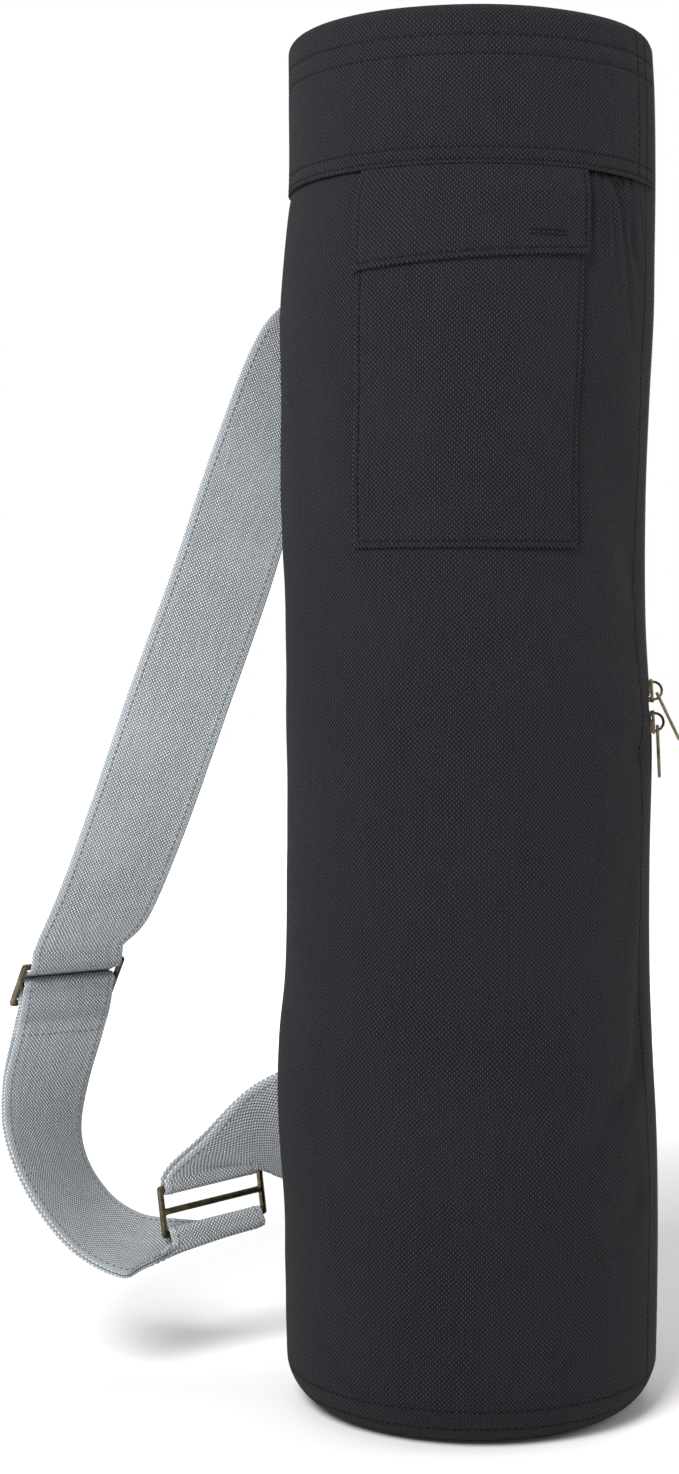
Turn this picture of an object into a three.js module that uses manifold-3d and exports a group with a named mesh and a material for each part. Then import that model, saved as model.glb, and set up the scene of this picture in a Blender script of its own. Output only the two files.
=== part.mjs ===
import * as THREE from "three";
import { mergeVertices } from "three/addons/utils/BufferGeometryUtils.js";
import Module from "manifold-3d";

// Yoga mat bag: a canvas tube that stands on its round base, with a wide top band, a flapped
// patch pocket, a full-length side zip with two sliders, and a wide adjustable shoulder strap.
// Millimetres, +Z up, the front towards -Y. The origin is the middle of the base.
// Angles are degrees round the tube, from the front (0) towards the right (90).

// Bag
const bagHeight = 670;
const bagHalfWidth = 91;
const bagDepthRatio = 0.97;
const baseRoll = 24;
const topRoll = 6;
const canvasWall = 1.6;
const clothGap = 0.3;
const bandHeight = 75;
const bandWall = 2.2;
const discWall = 2;
const topDiscDrop = 1;
const seamPinch = 1.6;
const seamPinchReach = 7;

// Pocket and flap
const pocketWidth = 110;
const pocketHeight = 176;
const pocketAngle = -1.8;
const pocketMouthDrop = 12;
const pocketPuff = 1.2;
const flapLength = 43;
const flapSkew = 8;
const flapOverhang = 1.5;

// Zip
const zipAngle = 84;
const slitHalfWidth = 7;
const tapeReach = 14;
const tapeWall = 0.8;
const coilWidth = 6;
const coilHeight = 2.8;
const sliderHeight = 342.3;
const sliderSpacing = 15.4;
const sliderLength = 11.6;
const sliderPlate = 1.4;
const sliderPlay = 0.3;
const sliderEdge = 0.3;
const flangeWall = 1.1;
const flangeLength = 6.4;
const postHalfWidth = 1.4;
const postLength = 2.6;
const bridgeRadius = 4.4;
const bridgeWire = 1.5;
const pullLength = 26;
const pullWidth = 7;
const pullThickness = 1.5;
const pullEdge = 0.25;
const pullLift = 1.15;
const pullEyeStart = 2.6;
const pullEyeLength = 3;
const pullEyeWidth = 3.2;
const pullHead = 1.1;
const upperPullTilt = 22;

// Strap, its slides and the tab
const strapWidth = 52;
const strapThickness = 1.5;
const plyGap = 0.5;
const barThickness = 3;
const barSpacing = 12;
const slideSidePlay = 0.4;
const strapAnchorAngle = 213;
const strapEndReach = 17;
const strapLap = 28;
const strapSlope = 0.36;
const bandLap = 1.3;
const tabLap = 26;
const tabSlope = 1.3;

// Spacing of the strap's stations in the air, in its loop and in a slide, and the steps of a
// turn round a bar
const runSpacing = 30;
const loopSpacing = 8;
const slideSpacing = 2.8;
const turnSteps = 6;

// What follows from them
const seamHeight = bagHeight - bandHeight;
const plyPitch = strapThickness + plyGap;
const barReach = barThickness / 2 + plyGap + strapThickness / 2;
const tapeDepth = bandWall + clothGap;
const coilBase = tapeDepth - clothGap;

// Outline of the tube: height as a share of bagHeight, then half width and sideways
// shift as shares of bagHalfWidth.
const outline = [
  { up: 0.0, half: 0.995, shift: 0.0 },
  { up: 0.081, half: 1.006, shift: 0.002 },
  { up: 0.145, half: 1.014, shift: -0.003 },
  { up: 0.204, half: 1.023, shift: -0.02 },
  { up: 0.264, half: 1.013, shift: -0.032 },
  { up: 0.322, half: 0.986, shift: -0.019 },
  { up: 0.397, half: 0.98, shift: -0.013 },
  { up: 0.485, half: 0.99, shift: -0.012 },
  { up: 0.574, half: 0.977, shift: -0.032 },
  { up: 0.663, half: 0.988, shift: -0.043 },
  { up: 0.737, half: 0.998, shift: -0.032 },
  { up: 0.797, half: 1.012, shift: -0.023 },
  { up: 0.841, half: 1.004, shift: -0.01 },
  { up: 0.9, half: 0.993, shift: 0.006 },
  { up: 0.96, half: 0.991, shift: 0.003 },
  { up: 1.0, half: 0.984, shift: -0.006 },
];

// Folds pressed into the canvas, each a groove from one place to another. Angles are in
// degrees, heights are shares of bagHeight, depths of foldDepth and widths of foldWidth.
const foldDepth = 3;
const foldWidth = 7;
const bodyFolds = [
  { angle: 36.5, up: 0.888, toAngle: 36, toUp: 0.839, deep: 0.55, toDeep: 0, wide: 0.32 },
  { angle: 41, up: 0.888, toAngle: 42, toUp: 0.81, deep: 0.7, toDeep: 0, wide: 0.36 },
  { angle: 45.5, up: 0.888, toAngle: 65, toUp: 0.81, deep: 0.8, toDeep: 0.1, wide: 0.5 },
  { angle: 50.5, up: 0.888, toAngle: 52, toUp: 0.83, deep: 0.65, toDeep: 0, wide: 0.36 },
  { angle: 56, up: 0.888, toAngle: 58, toUp: 0.849, deep: 0.5, toDeep: 0, wide: 0.36 },
  { angle: 35, up: 0.512, toAngle: 46, toUp: 0.492, deep: 0.2, toDeep: 0.6, wide: 0.8 },
  { angle: 46, up: 0.492, toAngle: 66, toUp: 0.479, deep: 0.6, toDeep: 0.4, wide: 0.8 },
  { angle: 62, up: 0.424, toAngle: 49.5, toUp: 0.334, deep: 0.15, toDeep: 0.45, wide: 1.2 },
  { angle: 67, up: 0.349, toAngle: 61, toUp: 0.252, deep: 0.2, toDeep: 0.8, wide: 1.1 },
  { angle: 61, up: 0.252, toAngle: 48, toUp: 0.23, deep: 0.8, toDeep: 0.9, wide: 1.1 },
  { angle: 48, up: 0.23, toAngle: 29.5, toUp: 0.183, deep: 0.9, toDeep: 0.15, wide: 1.2 },
  { angle: 58, up: 0.162, toAngle: 43, toUp: 0.143, deep: 0.6, toDeep: 0.25, wide: 1 },
  { angle: -66, up: 0.278, toAngle: -50, toUp: 0.224, deep: 0.1, toDeep: 0.35, wide: 1.6 },
  { angle: 150, up: 0.623, toAngle: 190, toUp: 0.583, deep: 0.2, toDeep: 0.35, wide: 1.8 },
];
const bandFolds = [
  { angle: 19, up: 0.968, toAngle: 40, toUp: 0.915, deep: 0.1, toDeep: 0.3, wide: 1.1 },
];

// Stretches of columns round the tube, closest where the gathers are.
const slitAngle = turnOf(slitHalfWidth);
const columnStretches = [
  { from: zipAngle + slitAngle, to: 100, steps: 3 },
  { from: 100, to: 320, steps: 16 },
  { from: 320, to: 394, steps: 8 },
  { from: 394, to: 426, steps: 16 },
  { from: 426, to: 360 + zipAngle - slitAngle, steps: 3 },
];

// Heights of the body's rows above the base roll, as shares of bagHeight.
const bodyLevels = [
  0.061, 0.150, 0.184, 0.214, 0.239, 0.258, 0.298, 0.347, 0.416, 0.475,
  0.504, 0.573, 0.626, 0.731, 0.800, 0.839, 0.869,
];

// Heights of the band's rows between its seam and its roll, as shares of bandHeight.
const bandLevels = [0.25, 0.55];

// The strap's way through the air from the bag to the loop's end: across and back as shares
// of bagHalfWidth, up as a share of bagHeight, and the direction of its width.
const strapRun = [
  { across: -0.91, back: 0.75, up: 0.789, width: [0.84, 0.4, -0.36] },
  { across: -1.165, back: 0.66, up: 0.7, width: [0.88, 0.3, -0.36] },
  { across: -1.385, back: 0.593, up: 0.606, width: [0.91, 0.22, -0.35] },
  { across: -1.626, back: 0.55, up: 0.513, width: [0.93, 0.17, -0.335] },
  { across: -1.857, back: 0.505, up: 0.421, width: [0.91, 0.28, -0.31] },
  { across: -2.055, back: 0.462, up: 0.352, width: [0.87, 0.42, -0.22] },
];
const upperSlide = { across: -2.242, back: 0.418, up: 0.299 };
const strapLoop = [
  { across: -2.36, back: 0.396, up: 0.227, width: [0.76, 0.65, -0.06] },
  { across: -2.385, back: 0.385, up: 0.189, width: [0.65, 0.75, -0.1] },
  { across: -2.335, back: 0.374, up: 0.161, width: [0.55, 0.82, 0.0] },
  { across: -2.225, back: 0.374, up: 0.134, width: [0.42, 0.87, 0.15] },
  { across: -2.07, back: 0.374, up: 0.111, width: [0.3, 0.9, 0.28] },
  { across: -1.865, back: 0.374, up: 0.097, width: [0.235, 0.914, 0.33] },
  { across: -1.64, back: 0.414, up: 0.096, width: [0.6, 0.75, 0.25] },
];
const lowerSlide = { across: -1.431, back: 0.495, up: 0.129 };
const slideLean = {
  upper: { width: [0.82, 0.57, 0], travel: [-0.324, 0.465, -0.824] },
  lower: { width: [0.886, 0.45, 0.12], travel: [-0.107, -0.054, 0.993] },
};

// The tab's way from the lower slide to the bag, written like the strap's.
const tabRun = [
  { across: -1.258, back: 0.546, up: 0.159, width: [0.77, 0.42, -0.48] },
  { across: -1.091, back: 0.621, up: 0.18, width: [0.45, 0.25, -0.86] },
];
const tabAnchorAngle = 233;
const tabAnchorUp = 0.199;

const charcoalCanvas = cloth("#2f2e33", 0.93);
const greyCanvas = cloth("#a3a6a8", 0.92);
const blackTape = cloth("#1c1c1f", 0.85);
const blackCoil = new THREE.MeshStandardMaterial({ color: "#17171a", roughness: 0.5 });
const antiqueBrass = new THREE.MeshStandardMaterial({
  color: "#7c6a4c",
  roughness: 0.42,
  metalness: 1,
});

const wasm = await Module();
wasm.setup();

const bag = new THREE.Group();
bag.name = "yoga_mat_bag";

buildCanvas();
buildPocket();
buildZip();
buildStrap();

export default bag;

function cloth(color, roughness) {
  return new THREE.MeshStandardMaterial({ color, roughness, metalness: 0 });
}

function add(name, geometry, material) {
  const mesh = new THREE.Mesh(geometry, material);
  mesh.name = name;
  bag.add(mesh);
  return mesh;
}

// Direction out of the tube at an angle, and the level direction round it.
function outward(angle) {
  const turn = THREE.MathUtils.degToRad(angle);
  return new THREE.Vector3(Math.sin(turn), -Math.cos(turn), 0);
}

function roundward(angle) {
  const turn = THREE.MathUtils.degToRad(angle);
  return new THREE.Vector3(Math.cos(turn), Math.sin(turn), 0);
}

// Smooth value of one column of the outline at a height.
function outlineAt(column, height) {
  const up = THREE.MathUtils.clamp(height / bagHeight, 0, 1);
  const last = outline.length - 1;
  let i = 0;
  while (i < last - 1 && up > outline[i + 1].up) {
    i += 1;
  }
  const before = outline[Math.max(i - 1, 0)];
  const from = outline[i];
  const to = outline[i + 1];
  const after = outline[Math.min(i + 2, last)];
  const span = to.up - from.up;
  const t = (up - from.up) / span;
  const slopeFrom = ((to[column] - before[column]) / (to.up - before.up)) * span;
  const slopeTo = ((after[column] - from[column]) / (after.up - from.up)) * span;
  const rise = to[column] - from[column];
  const bend = 3 * rise - 2 * slopeFrom - slopeTo;
  const twist = slopeFrom + slopeTo - 2 * rise;
  return bagHalfWidth * (from[column] + t * (slopeFrom + t * (bend + t * twist)));
}

// Point of the tube at an angle and height, some way inside its outline.
function tubePoint(angle, height, inset) {
  const out = outward(angle);
  const half = outlineAt("half", height);
  const x = outlineAt("shift", height) + out.x * (half - inset);
  const y = out.y * (half * bagDepthRatio - inset);
  return new THREE.Vector3(x, y, height);
}

// How far the folds press the canvas inwards at a place.
function foldInset(folds, angle, height) {
  let inset = 0;
  for (const fold of folds) {
    const start = fold.up * bagHeight;
    const along = unrolled(fold.toAngle - fold.angle, fold.toUp * bagHeight - start);
    const reach = unrolled(angle - fold.angle, height - start);
    const share = THREE.MathUtils.clamp(reach.dot(along) / along.lengthSq(), 0, 1);
    const off = reach.addScaledVector(along, -share).length() / (fold.wide * foldWidth);
    const deep = THREE.MathUtils.lerp(fold.deep, fold.toDeep, share) * foldDepth;
    inset += deep * (1 - (off * off) / 2) * Math.exp((-off * off) / 2);
  }
  return inset;
}

// Step along the cloth as if it lay flat: round the tube, then up.
function unrolled(turn, rise) {
  const nearest = THREE.MathUtils.euclideanModulo(turn + 180, 360) - 180;
  return new THREE.Vector2(THREE.MathUtils.degToRad(nearest) * bagHalfWidth, rise);
}

// Angles from one to another in even steps.
function stretch(from, to, steps) {
  const angles = [];
  for (let i = 0; i <= steps; i += 1) {
    angles.push(THREE.MathUtils.lerp(from, to, i / steps));
  }
  return angles;
}

// Columns of the tube's wall, from the slit's back edge round to its front edge.
function wallColumns() {
  const columns = columnStretches.flatMap(({ from, to, steps }) =>
    stretch(from, to, steps).slice(0, -1),
  );
  columns.push(columnStretches[columnStretches.length - 1].to);
  return columns;
}

// The wall's own columns or rows between two limits, with the limits themselves.
function between(values, low, high, room) {
  const inside = values.filter((value) => value > low + room && value < high - room);
  return [low, ...inside, high];
}

// A row of the wall: its height, its inset and how far its outside leans from level.
function levelRow(height) {
  return { height, inset: 0, lean: 0 };
}

// Rows of the rolled edge at the base (end -1) or the top (end 1), from level to flat.
function rollRows(end, leans) {
  const roll = end < 0 ? baseRoll : topRoll;
  return leans.map((degrees) => {
    const lean = THREE.MathUtils.degToRad(degrees);
    const rise = roll * (1 - Math.sin(lean));
    return {
      height: end < 0 ? rise : bagHeight - rise,
      inset: roll * (1 - Math.cos(lean)),
      lean: end * lean,
    };
  });
}

// Point of a row at an angle, some depth below the outside.
function rowPoint(row, angle, depth) {
  const inset = row.inset + depth * Math.cos(row.lean);
  const point = tubePoint(angle, row.height, inset);
  point.z -= depth * Math.sin(row.lean);
  return point;
}

// Closed solid between an outer and an inner grid of points. Columns run to the right and
// rows run up, as seen from outside.
function shell(outer, inner) {
  const rows = outer.length;
  const columns = outer[0].length;
  const points = [...outer.flat(), ...inner.flat()];
  const innerStart = rows * columns;
  const index = [];
  const quad = (a, b, c, d) => index.push(a, b, c, a, c, d);
  for (let r = 0; r < rows - 1; r += 1) {
    for (let c = 0; c < columns - 1; c += 1) {
      const corner = r * columns + c;
      const above = corner + columns;
      quad(corner, corner + 1, above + 1, above);
      quad(
        innerStart + corner,
        innerStart + above,
        innerStart + above + 1,
        innerStart + corner + 1,
      );
    }
  }
  const border = [];
  for (let c = 0; c < columns - 1; c += 1) {
    border.push(c);
  }
  for (let r = 0; r < rows - 1; r += 1) {
    border.push(r * columns + columns - 1);
  }
  for (let c = columns - 1; c > 0; c -= 1) {
    border.push((rows - 1) * columns + c);
  }
  for (let r = rows - 1; r > 0; r -= 1) {
    border.push(r * columns);
  }
  border.forEach((from, i) => {
    const to = border[(i + 1) % border.length];
    quad(to, from, innerStart + from, innerStart + to);
  });
  const geometry = new THREE.BufferGeometry().setFromPoints(points);
  geometry.setIndex(index);
  geometry.computeVertexNormals();
  return geometry;
}

// Curved cloth on the tube: depths of its outer and inner faces at each row and column.
function panel(rows, columns, outerDepth, innerDepth) {
  const grid = (depth) =>
    rows.map((row) => columns.map((angle) => rowPoint(row, angle, depth(angle, row))));
  return shell(grid(outerDepth), grid(innerDepth));
}

function bodyRows() {
  const roll = rollRows(-1, [90, 68, 45, 22, 0]);
  const seam = seamHeight - clothGap / 2;
  return [...roll, ...bodyLevels.map((share) => levelRow(share * bagHeight)), levelRow(seam)];
}

function bandRows() {
  const seam = seamHeight + clothGap / 2;
  const levels = [seam, ...bandLevels.map((share) => seamHeight + share * bandHeight)];
  return [...levels.map(levelRow), ...rollRows(1, [0, 30, 60, 90])];
}

// Depth of the body's canvas: its folds, and the pinch under the band seam.
function bodyDepth(angle, row) {
  const fromZip = Math.abs(unrolled(angle - zipAngle, 0).x);
  const pinch = seamPinch * THREE.MathUtils.smoothstep(fromZip, tapeReach, 2 * tapeReach);
  const fade = Math.exp((row.height - seamHeight) / seamPinchReach);
  return pinch * fade + foldInset(bodyFolds, angle, row.height);
}

function buildCanvas() {
  const columns = wallColumns();
  const bandDepth = (angle, row) => foldInset(bandFolds, angle, row.height);
  const body = panel(
    bodyRows(),
    columns,
    bodyDepth,
    (angle, row) => bodyDepth(angle, row) + canvasWall,
  );
  const band = panel(
    bandRows(),
    columns,
    bandDepth,
    (angle, row) => bandDepth(angle, row) + bandWall,
  );
  add("body_panel", body, charcoalCanvas);
  add("top_band", band, charcoalCanvas);
  add("top_disc", endDisc(bagHeight - topDiscDrop - discWall, topRoll), charcoalCanvas);
  add("base_disc", endDisc(0, baseRoll), charcoalCanvas);
}

// Round end panel inside the rolled edge, lying on a height.
function endDisc(height, roll) {
  const columns = [...wallColumns(), 360 + zipAngle];
  const rim = columns.map((angle) => tubePoint(angle, height, roll + clothGap));
  const shape = new THREE.Shape(rim.map((point) => new THREE.Vector2(point.x, point.y)));
  const geometry = new THREE.ExtrudeGeometry(shape, { depth: discWall, bevelEnabled: false });
  return geometry.translate(0, 0, height);
}

function buildPocket() {
  const wallAngles = wallColumns();
  const wallHeights = bodyRows().map((row) => row.height);
  const halfTurn = THREE.MathUtils.radToDeg(pocketWidth / 2 / bagHalfWidth);
  const middle = 360 + pocketAngle;
  const top = seamHeight - clothGap;

  const columns = between(wallAngles, middle - halfTurn, middle + halfTurn, 1);
  const mouth = top - pocketMouthDrop;
  const heights = between(wallHeights, top - pocketHeight, mouth, 4);
  const puff = (angle, row) => {
    const side = Math.cos(((angle - middle) / halfTurn) * (Math.PI / 2));
    const rise = Math.sin(((row.height - top + pocketHeight) / pocketHeight) * (Math.PI / 2));
    return pocketPuff * side * rise;
  };
  const inner = (angle, row) => bodyDepth(angle, row) - clothGap - puff(angle, row);
  const pocket = panel(
    heights.map(levelRow),
    columns,
    (angle, row) => inner(angle, row) - canvasWall,
    inner,
  );
  add("pocket", pocket, charcoalCanvas);

  const flapTurn = halfTurn + THREE.MathUtils.radToDeg(flapOverhang / bagHalfWidth);
  const flapColumns = between(wallAngles, middle - flapTurn, middle + flapTurn, 1);
  const flapHeights = [0, 0.2, 0.45, 0.72, 1].map((share) => top - flapLength * (1 - share));
  const lift = (angle, row) => {
    const share = THREE.MathUtils.clamp((top - row.height) / pocketMouthDrop, 0, 1);
    const side = Math.max(Math.cos(((angle - middle) / flapTurn) * (Math.PI / 2)), 0);
    return share * (clothGap + canvasWall + pocketPuff * side);
  };
  const drop = (angle, height) => {
    const share = (top - height) / flapLength;
    return (share * flapSkew * (angle - middle)) / flapTurn / 2;
  };
  const flapGrid = (thickness) =>
    flapHeights.map((height) =>
      flapColumns.map((angle) => {
        const row = levelRow(height + drop(angle, height));
        const depth = bodyDepth(angle, row) - clothGap - lift(angle, row) - thickness;
        return rowPoint(row, angle, depth);
      }),
    );
  add("pocket_flap", shell(flapGrid(canvasWall), flapGrid(0)), charcoalCanvas);
}

function zipTurn(distance) {
  return zipAngle + THREE.MathUtils.radToDeg(distance / bagHalfWidth);
}

function buildZip() {
  const levels = [
    ...bodyLevels.map((share) => share * bagHeight),
    seamHeight,
    ...bandLevels.map((share) => seamHeight + share * bandHeight),
  ];
  const base = rollRows(-1, [70, 45, 22, 0]);
  const top = rollRows(1, [0, 30, 70]);
  const rows = [...base, ...levels.map(levelRow), ...top];

  const tapeStart = postHalfWidth + sliderPlay;
  const tape = (columns) =>
    panel(
      rows,
      columns.map(zipTurn),
      () => tapeDepth,
      () => tapeDepth + tapeWall,
    );
  add("zip_tape_front", tape([-tapeReach, -slitHalfWidth, -tapeStart]), blackTape);
  add("zip_tape_back", tape([tapeStart, slitHalfWidth, tapeReach]), blackTape);

  const nose = sliderSpacing / 2 - sliderLength / 2;
  const coilEnd = nose + postLength + 2 * sliderPlay;
  const above = sliderHeight + coilEnd;
  const below = sliderHeight - coilEnd;
  const upper = rows.filter((row) => row.height > above + sliderLength / 2);
  const lower = rows.filter((row) => row.height < below - sliderLength / 2);
  add("zip_coil_upper", coil([levelRow(above), ...upper]), blackCoil);
  add("zip_coil_lower", coil([...lower, levelRow(below)]), blackCoil);

  for (const side of ["upper", "lower"]) {
    buildSlider(side);
  }
}

// Half-round bead over the edges of the two tapes.
function coil(rows) {
  const shares = [-1, -0.72, 0, 0.72, 1];
  const arch = (angle) => {
    const share = THREE.MathUtils.degToRad(angle - zipAngle) / (coilWidth / 2 / bagHalfWidth);
    return coilBase - coilHeight * (0.3 + 0.7 * Math.sqrt(Math.max(1 - share * share, 0)));
  };
  return panel(
    rows,
    shares.map((share) => zipTurn((share * coilWidth) / 2)),
    arch,
    () => coilBase,
  );
}

function toSolid(geometry) {
  const bare = geometry.clone();
  bare.deleteAttribute("normal");
  bare.deleteAttribute("uv");
  const merged = mergeVertices(bare, 1e-4);
  return new wasm.Manifold(
    new wasm.Mesh({
      numProp: 3,
      vertProperties: merged.attributes.position.array,
      triVerts: new Uint32Array(merged.index.array),
    }),
  );
}

function toGeometry(solid) {
  const mesh = solid.getMesh();
  const geometry = new THREE.BufferGeometry();
  geometry.setAttribute("position", new THREE.BufferAttribute(mesh.vertProperties, 3));
  geometry.setIndex(new THREE.BufferAttribute(mesh.triVerts, 1));
  const flat = geometry.toNonIndexed();
  flat.computeVertexNormals();
  return flat;
}

// Slider in its own frame: x across the zip, y up along it, z out of the bag, with z = 0 on
// the tube's outline. Its post stands at the nose, which faces down on the upper slider.
function sliderGeometry() {
  const half = coilWidth / 2 + sliderPlay + flangeWall;
  const plateBottom = coilHeight - coilBase + sliderPlay;
  const flangeBottom = sliderPlay - tapeDepth;
  const underTop = -tapeDepth - tapeWall - sliderPlay;
  const noseY = -sliderLength / 2;

  const plate = plateShape(half);
  const top = extrude(plate, sliderPlate, sliderEdge).translate(0, 0, plateBottom);
  const under = extrude(plate, sliderPlate, sliderEdge).translate(0, 0, underTop - sliderPlate);
  const postDeep = plateBottom - underTop + sliderPlate;
  const post = new THREE.BoxGeometry(postHalfWidth * 2, postLength, postDeep);
  post.translate(0, noseY + postLength / 2 + sliderPlay, (plateBottom + underTop) / 2);
  const flangeDeep = plateBottom - flangeBottom + sliderPlate / 2;
  let solid = toSolid(top).add(toSolid(under)).add(toSolid(post));
  const flangeEnd = sliderLength / 2 - flangeWall / 2;
  for (const side of [-1, 1]) {
    const flange = new THREE.BoxGeometry(flangeWall, flangeLength, flangeDeep);
    flange.translate(
      side * (half - flangeWall / 2),
      flangeEnd - flangeLength / 2,
      flangeBottom + flangeDeep / 2,
    );
    solid = solid.add(toSolid(flange));
  }
  const arch = new THREE.EllipseCurve(0, 0, bridgeRadius, bridgeRadius, 0, Math.PI);
  const path = new THREE.CatmullRomCurve3(
    arch.getPoints(8).map((point) => new THREE.Vector3(0, point.x, point.y)),
  );
  const wire = new THREE.EllipseCurve(0, 0, bridgeWire / 2, bridgeWire / 2);
  const bridge = new THREE.ExtrudeGeometry(new THREE.Shape(wire.getPoints(6)), {
    steps: 8,
    extrudePath: path,
    bevelEnabled: false,
  });
  bridge.translate(0, 0, plateBottom + sliderPlate - sliderEdge / 3);
  return toGeometry(solid.add(toSolid(bridge)));
}

// Outline of a slider's plate: wide shoulders at the nose and a narrower tail.
function plateShape(half) {
  const long = sliderLength / 2;
  return new THREE.Shape()
    .moveTo(-half * 0.55, -long)
    .lineTo(half * 0.55, -long)
    .quadraticCurveTo(half, -long * 0.8, half, -long * 0.25)
    .lineTo(half * 0.92, long * 0.75)
    .quadraticCurveTo(half * 0.9, long, half * 0.62, long)
    .lineTo(-half * 0.62, long)
    .quadraticCurveTo(-half * 0.9, long, -half * 0.92, long * 0.75)
    .lineTo(-half, -long * 0.25)
    .quadraticCurveTo(-half, -long * 0.8, -half * 0.55, -long);
}

// Plate of a given thickness with its edges broken, standing on z = 0.
function extrude(shape, thickness, edge) {
  const geometry = new THREE.ExtrudeGeometry(shape, {
    depth: thickness - 2 * edge,
    bevelEnabled: true,
    bevelThickness: edge,
    bevelSize: edge,
    bevelOffset: -edge,
    bevelSegments: 1,
    curveSegments: 2,
  });
  return geometry.translate(0, 0, edge);
}

// Pull in its own frame: y = 0 on the bridge's centre, hanging towards -y.
function pullGeometry() {
  const half = pullWidth / 2;
  const eyeHalf = pullEyeWidth / 2;
  const head = -(pullEyeStart - pullHead);
  const tip = head - pullLength;
  const shape = new THREE.Shape()
    .moveTo(-half * 0.7, head)
    .lineTo(-half * 0.8, head - 4 * pullHead)
    .lineTo(-half, head - 8 * pullHead)
    .lineTo(-half, tip + half)
    .quadraticCurveTo(-half, tip, 0, tip)
    .quadraticCurveTo(half, tip, half, tip + half)
    .lineTo(half, head - 8 * pullHead)
    .lineTo(half * 0.8, head - 4 * pullHead)
    .lineTo(half * 0.7, head);
  const eyeEnd = -pullEyeStart - pullEyeLength;
  shape.holes.push(
    new THREE.Path()
      .moveTo(-eyeHalf, -pullEyeStart)
      .lineTo(eyeHalf, -pullEyeStart)
      .lineTo(eyeHalf, eyeEnd)
      .lineTo(-eyeHalf, eyeEnd)
      .lineTo(-eyeHalf, -pullEyeStart),
  );
  return extrude(shape, pullThickness, pullEdge).translate(0, 0, -pullThickness / 2);
}

function buildSlider(side) {
  const facing = side === "upper" ? 1 : -1;
  const height = sliderHeight + (facing * sliderSpacing) / 2;
  const low = tubePoint(zipAngle, height - sliderLength / 2, 0);
  const high = tubePoint(zipAngle, height + sliderLength / 2, 0);
  const across = roundward(zipAngle);
  const along = high.clone().sub(low).normalize();
  const frame = new THREE.Matrix4().makeBasis(across, along, across.clone().cross(along));
  frame.setPosition(low.lerp(high, 0.5));
  const slider = sliderGeometry();
  if (facing < 0) {
    slider.rotateZ(Math.PI);
  }
  add(`zip_slider_${side}`, slider.applyMatrix4(frame), antiqueBrass);

  const plateTop = coilHeight - coilBase + sliderPlay + sliderPlate;
  const pull = pullGeometry().translate(0, 0, pullLift);
  const tilt = side === "upper" ? upperPullTilt : 0;
  pull.rotateX(-THREE.MathUtils.degToRad(tilt));
  pull.translate(0, 0, plateTop);
  add(`zip_pull_${side}`, pull.applyMatrix4(frame), antiqueBrass);
}

// Place in space of a row of shares.
function placeOf({ across, back, up }) {
  return new THREE.Vector3(across * bagHalfWidth, back * bagHalfWidth, up * bagHeight);
}

// Frame of a slide: x along its bars, y along the strap's travel, z to the strap's inside.
function slideFrame(side, place) {
  const width = new THREE.Vector3(...slideLean[side].width).normalize();
  const travel = new THREE.Vector3(...slideLean[side].travel);
  travel.addScaledVector(width, -travel.dot(width)).normalize();
  const inside = new THREE.Vector3().crossVectors(travel, width);
  return { centre: placeOf(place), width, travel, inside };
}

// Point in a slide's frame, with the strap's width direction there.
function slideStation(frame, along, off) {
  const point = frame.centre.clone();
  point.addScaledVector(frame.travel, along);
  point.addScaledVector(frame.inside, off);
  return { point, width: frame.width.clone() };
}

function runStation(row) {
  return { point: placeOf(row), width: new THREE.Vector3(...row.width).normalize() };
}

// Smooth stations through chosen ones, no further apart than a spacing.
function smoothStations(chosen, spacing) {
  const path = new THREE.CatmullRomCurve3(chosen.map(({ point }) => point));
  const turn = new THREE.CatmullRomCurve3(chosen.map(({ width }) => width));
  const stations = [];
  for (let i = 0; i < chosen.length - 1; i += 1) {
    const gap = chosen[i].point.distanceTo(chosen[i + 1].point);
    const steps = Math.max(Math.ceil(gap / spacing), 1);
    for (let k = 0; k < steps; k += 1) {
      const t = (i + k / steps) / (chosen.length - 1);
      stations.push({ point: path.getPoint(t), width: turn.getPoint(t).normalize() });
    }
  }
  stations.push(chosen[chosen.length - 1]);
  return stations;
}

// Distance travelled to each station.
function travelled(stations) {
  let total = 0;
  return stations.map(({ point }, i) => {
    total += i > 0 ? point.distanceTo(stations[i - 1].point) : 0;
    return total;
  });
}

// Travel and inside directions at each station.
function framed(stations) {
  return stations.map((station, i) => {
    const before = stations[Math.max(i - 1, 0)].point;
    const after = stations[Math.min(i + 1, stations.length - 1)].point;
    const travel = after.clone().sub(before).normalize();
    const inside = new THREE.Vector3().crossVectors(travel, station.width).normalize();
    return { ...station, travel, inside };
  });
}

// Second ply on the inside of a framed run, at a distance for each station.
function plyOver(run, distances) {
  return run.map((station, i) => ({
    ...station,
    point: station.point.clone().addScaledVector(station.inside, distances[i]),
  }));
}

// Half a turn round a bar from one side of it to the other, ends left out.
function halfTurn(bar, start, top, width) {
  const stations = [];
  for (let i = 1; i < turnSteps; i += 1) {
    const turn = (i / turnSteps) * Math.PI;
    const point = bar.clone();
    point.addScaledVector(start, barReach * Math.cos(turn));
    point.addScaledVector(top, barReach * Math.sin(turn));
    stations.push({ point, width: width.clone() });
  }
  return stations;
}

// Solid strap through stations. A curved station hugs the tube with its inner face.
function ribbon(stations, width) {
  const columns = [-0.5, -0.17, 0.17, 0.5];
  const framedRun = framed(stations);
  const grid = (offset) =>
    framedRun.map(({ point, width: side, inside, hug = 0 }) =>
      columns.map((share) => {
        const across = share * width;
        const sag = (hug * across * across) / 2 / bagHalfWidth;
        const corner = point.clone().addScaledVector(side, across);
        return corner.addScaledVector(inside, offset + sag);
      }),
    );
  return shell(grid(-strapThickness / 2), grid(strapThickness / 2));
}

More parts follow.
